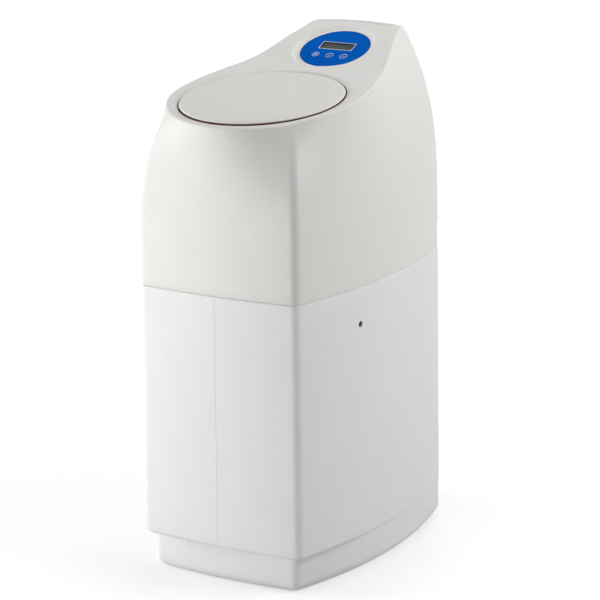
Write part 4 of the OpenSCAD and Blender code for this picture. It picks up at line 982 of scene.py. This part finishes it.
def seen_rays(nodes, links):
    """Factor of 1 where a ray comes from the camera, a reflection or clear glass."""
    path = nodes.new("ShaderNodeLightPath")
    factor = path.outputs["Is Camera Ray"]
    for kind in ("Is Glossy Ray", "Is Transmission Ray"):
        either = nodes.new("ShaderNodeMath")
        either.operation = "MAXIMUM"
        links.new(factor, either.inputs[0])
        links.new(path.outputs[kind], either.inputs[1])
        factor = either.outputs[0]
    return factor


def build_floor():
    """Pale floor that keeps the shadow near the object and fades into the white background."""
    bm = bmesh.new()
    bmesh.ops.create_grid(bm, x_segments=8, y_segments=8, size=FLOOR_HALF)
    mesh = bpy.data.meshes.new("studio_floor")
    bm.to_mesh(mesh)
    bm.free()
    finish, nodes, links, surface = shader("studio_floor")
    drift = cloud(nodes, links, spread(nodes, links), 2.0)
    links.new(tones(nodes, links, drift, (0.3, FLOOR_DARK), (0.7, FLOOR_PALE)),
              surface.inputs["Base Color"])
    surface.inputs["Roughness"].default_value = 0.8
    fade = nodes.new("ShaderNodeTexGradient")
    fade.gradient_type = "SPHERICAL"
    links.new(spread(nodes, links, (FADE_R, FADE_R, FADE_R)), fade.inputs["Vector"])
    glow = nodes.new("ShaderNodeMath")
    glow.operation = "MULTIPLY"
    links.new(span(nodes, links, fade.outputs["Fac"], FAR_GLOW, NEAR_GLOW), glow.inputs[0])
    links.new(seen_rays(nodes, links), glow.inputs[1])
    links.new(glow.outputs[0], surface.inputs["Emission Strength"])
    surface.inputs["Emission Color"].default_value = (1, 1, 1, 1)
    mesh.materials.append(finish)
    floor = bpy.data.objects.new("studio_floor", mesh)
    bpy.context.scene.collection.objects.link(floor)


def build_world():
    """White surroundings where they are seen, and a faint even light."""
    world = bpy.data.worlds.new("studio")
    bpy.context.scene.world = world
    world.use_nodes = True
    nodes, links = world.node_tree.nodes, world.node_tree.links
    sky = nodes["Background"]
    sky.inputs["Color"].default_value = (1, 1, 1, 1)
    links.new(span(nodes, links, seen_rays(nodes, links), SKY_LIGHT, SKY_SEEN), sky.inputs["Strength"])


def softbox(name, place, width, height, power):
    """Large soft lamp aimed at the middle of the object."""
    lamp = bpy.data.lights.new(name, "AREA")
    lamp.shape = "RECTANGLE"
    lamp.size, lamp.size_y = width, height
    lamp.energy = power
    holder = bpy.data.objects.new(name, lamp)
    away = Vector(place) - Vector(MIDDLE)
    holder.matrix_world = Matrix.Translation(place) @ away.to_track_quat("Z", "Y").to_matrix().to_4x4()
    bpy.context.scene.collection.objects.link(holder)


build_floor()
build_world()
softbox("left_softbox", (-2.4, -1.2, 1.2), 1.5, 1.5, 33.5)
softbox("front_softbox", (-1.3, -2.0, 0.35), 1.8, 0.7, 25.5)
softbox("right_softbox", (1.9, 0.5, 1.6), 1.4, 1.4, 29.5)
softbox("top_softbox", (0.0, 0.2, 2.6), 0.6, 0.6, 9.8)
softbox("back_softbox", (-0.9, 2.4, 0.6), 1.2, 1.2, 14.0)

bpy.context.scene.view_settings.view_transform = "Standard"
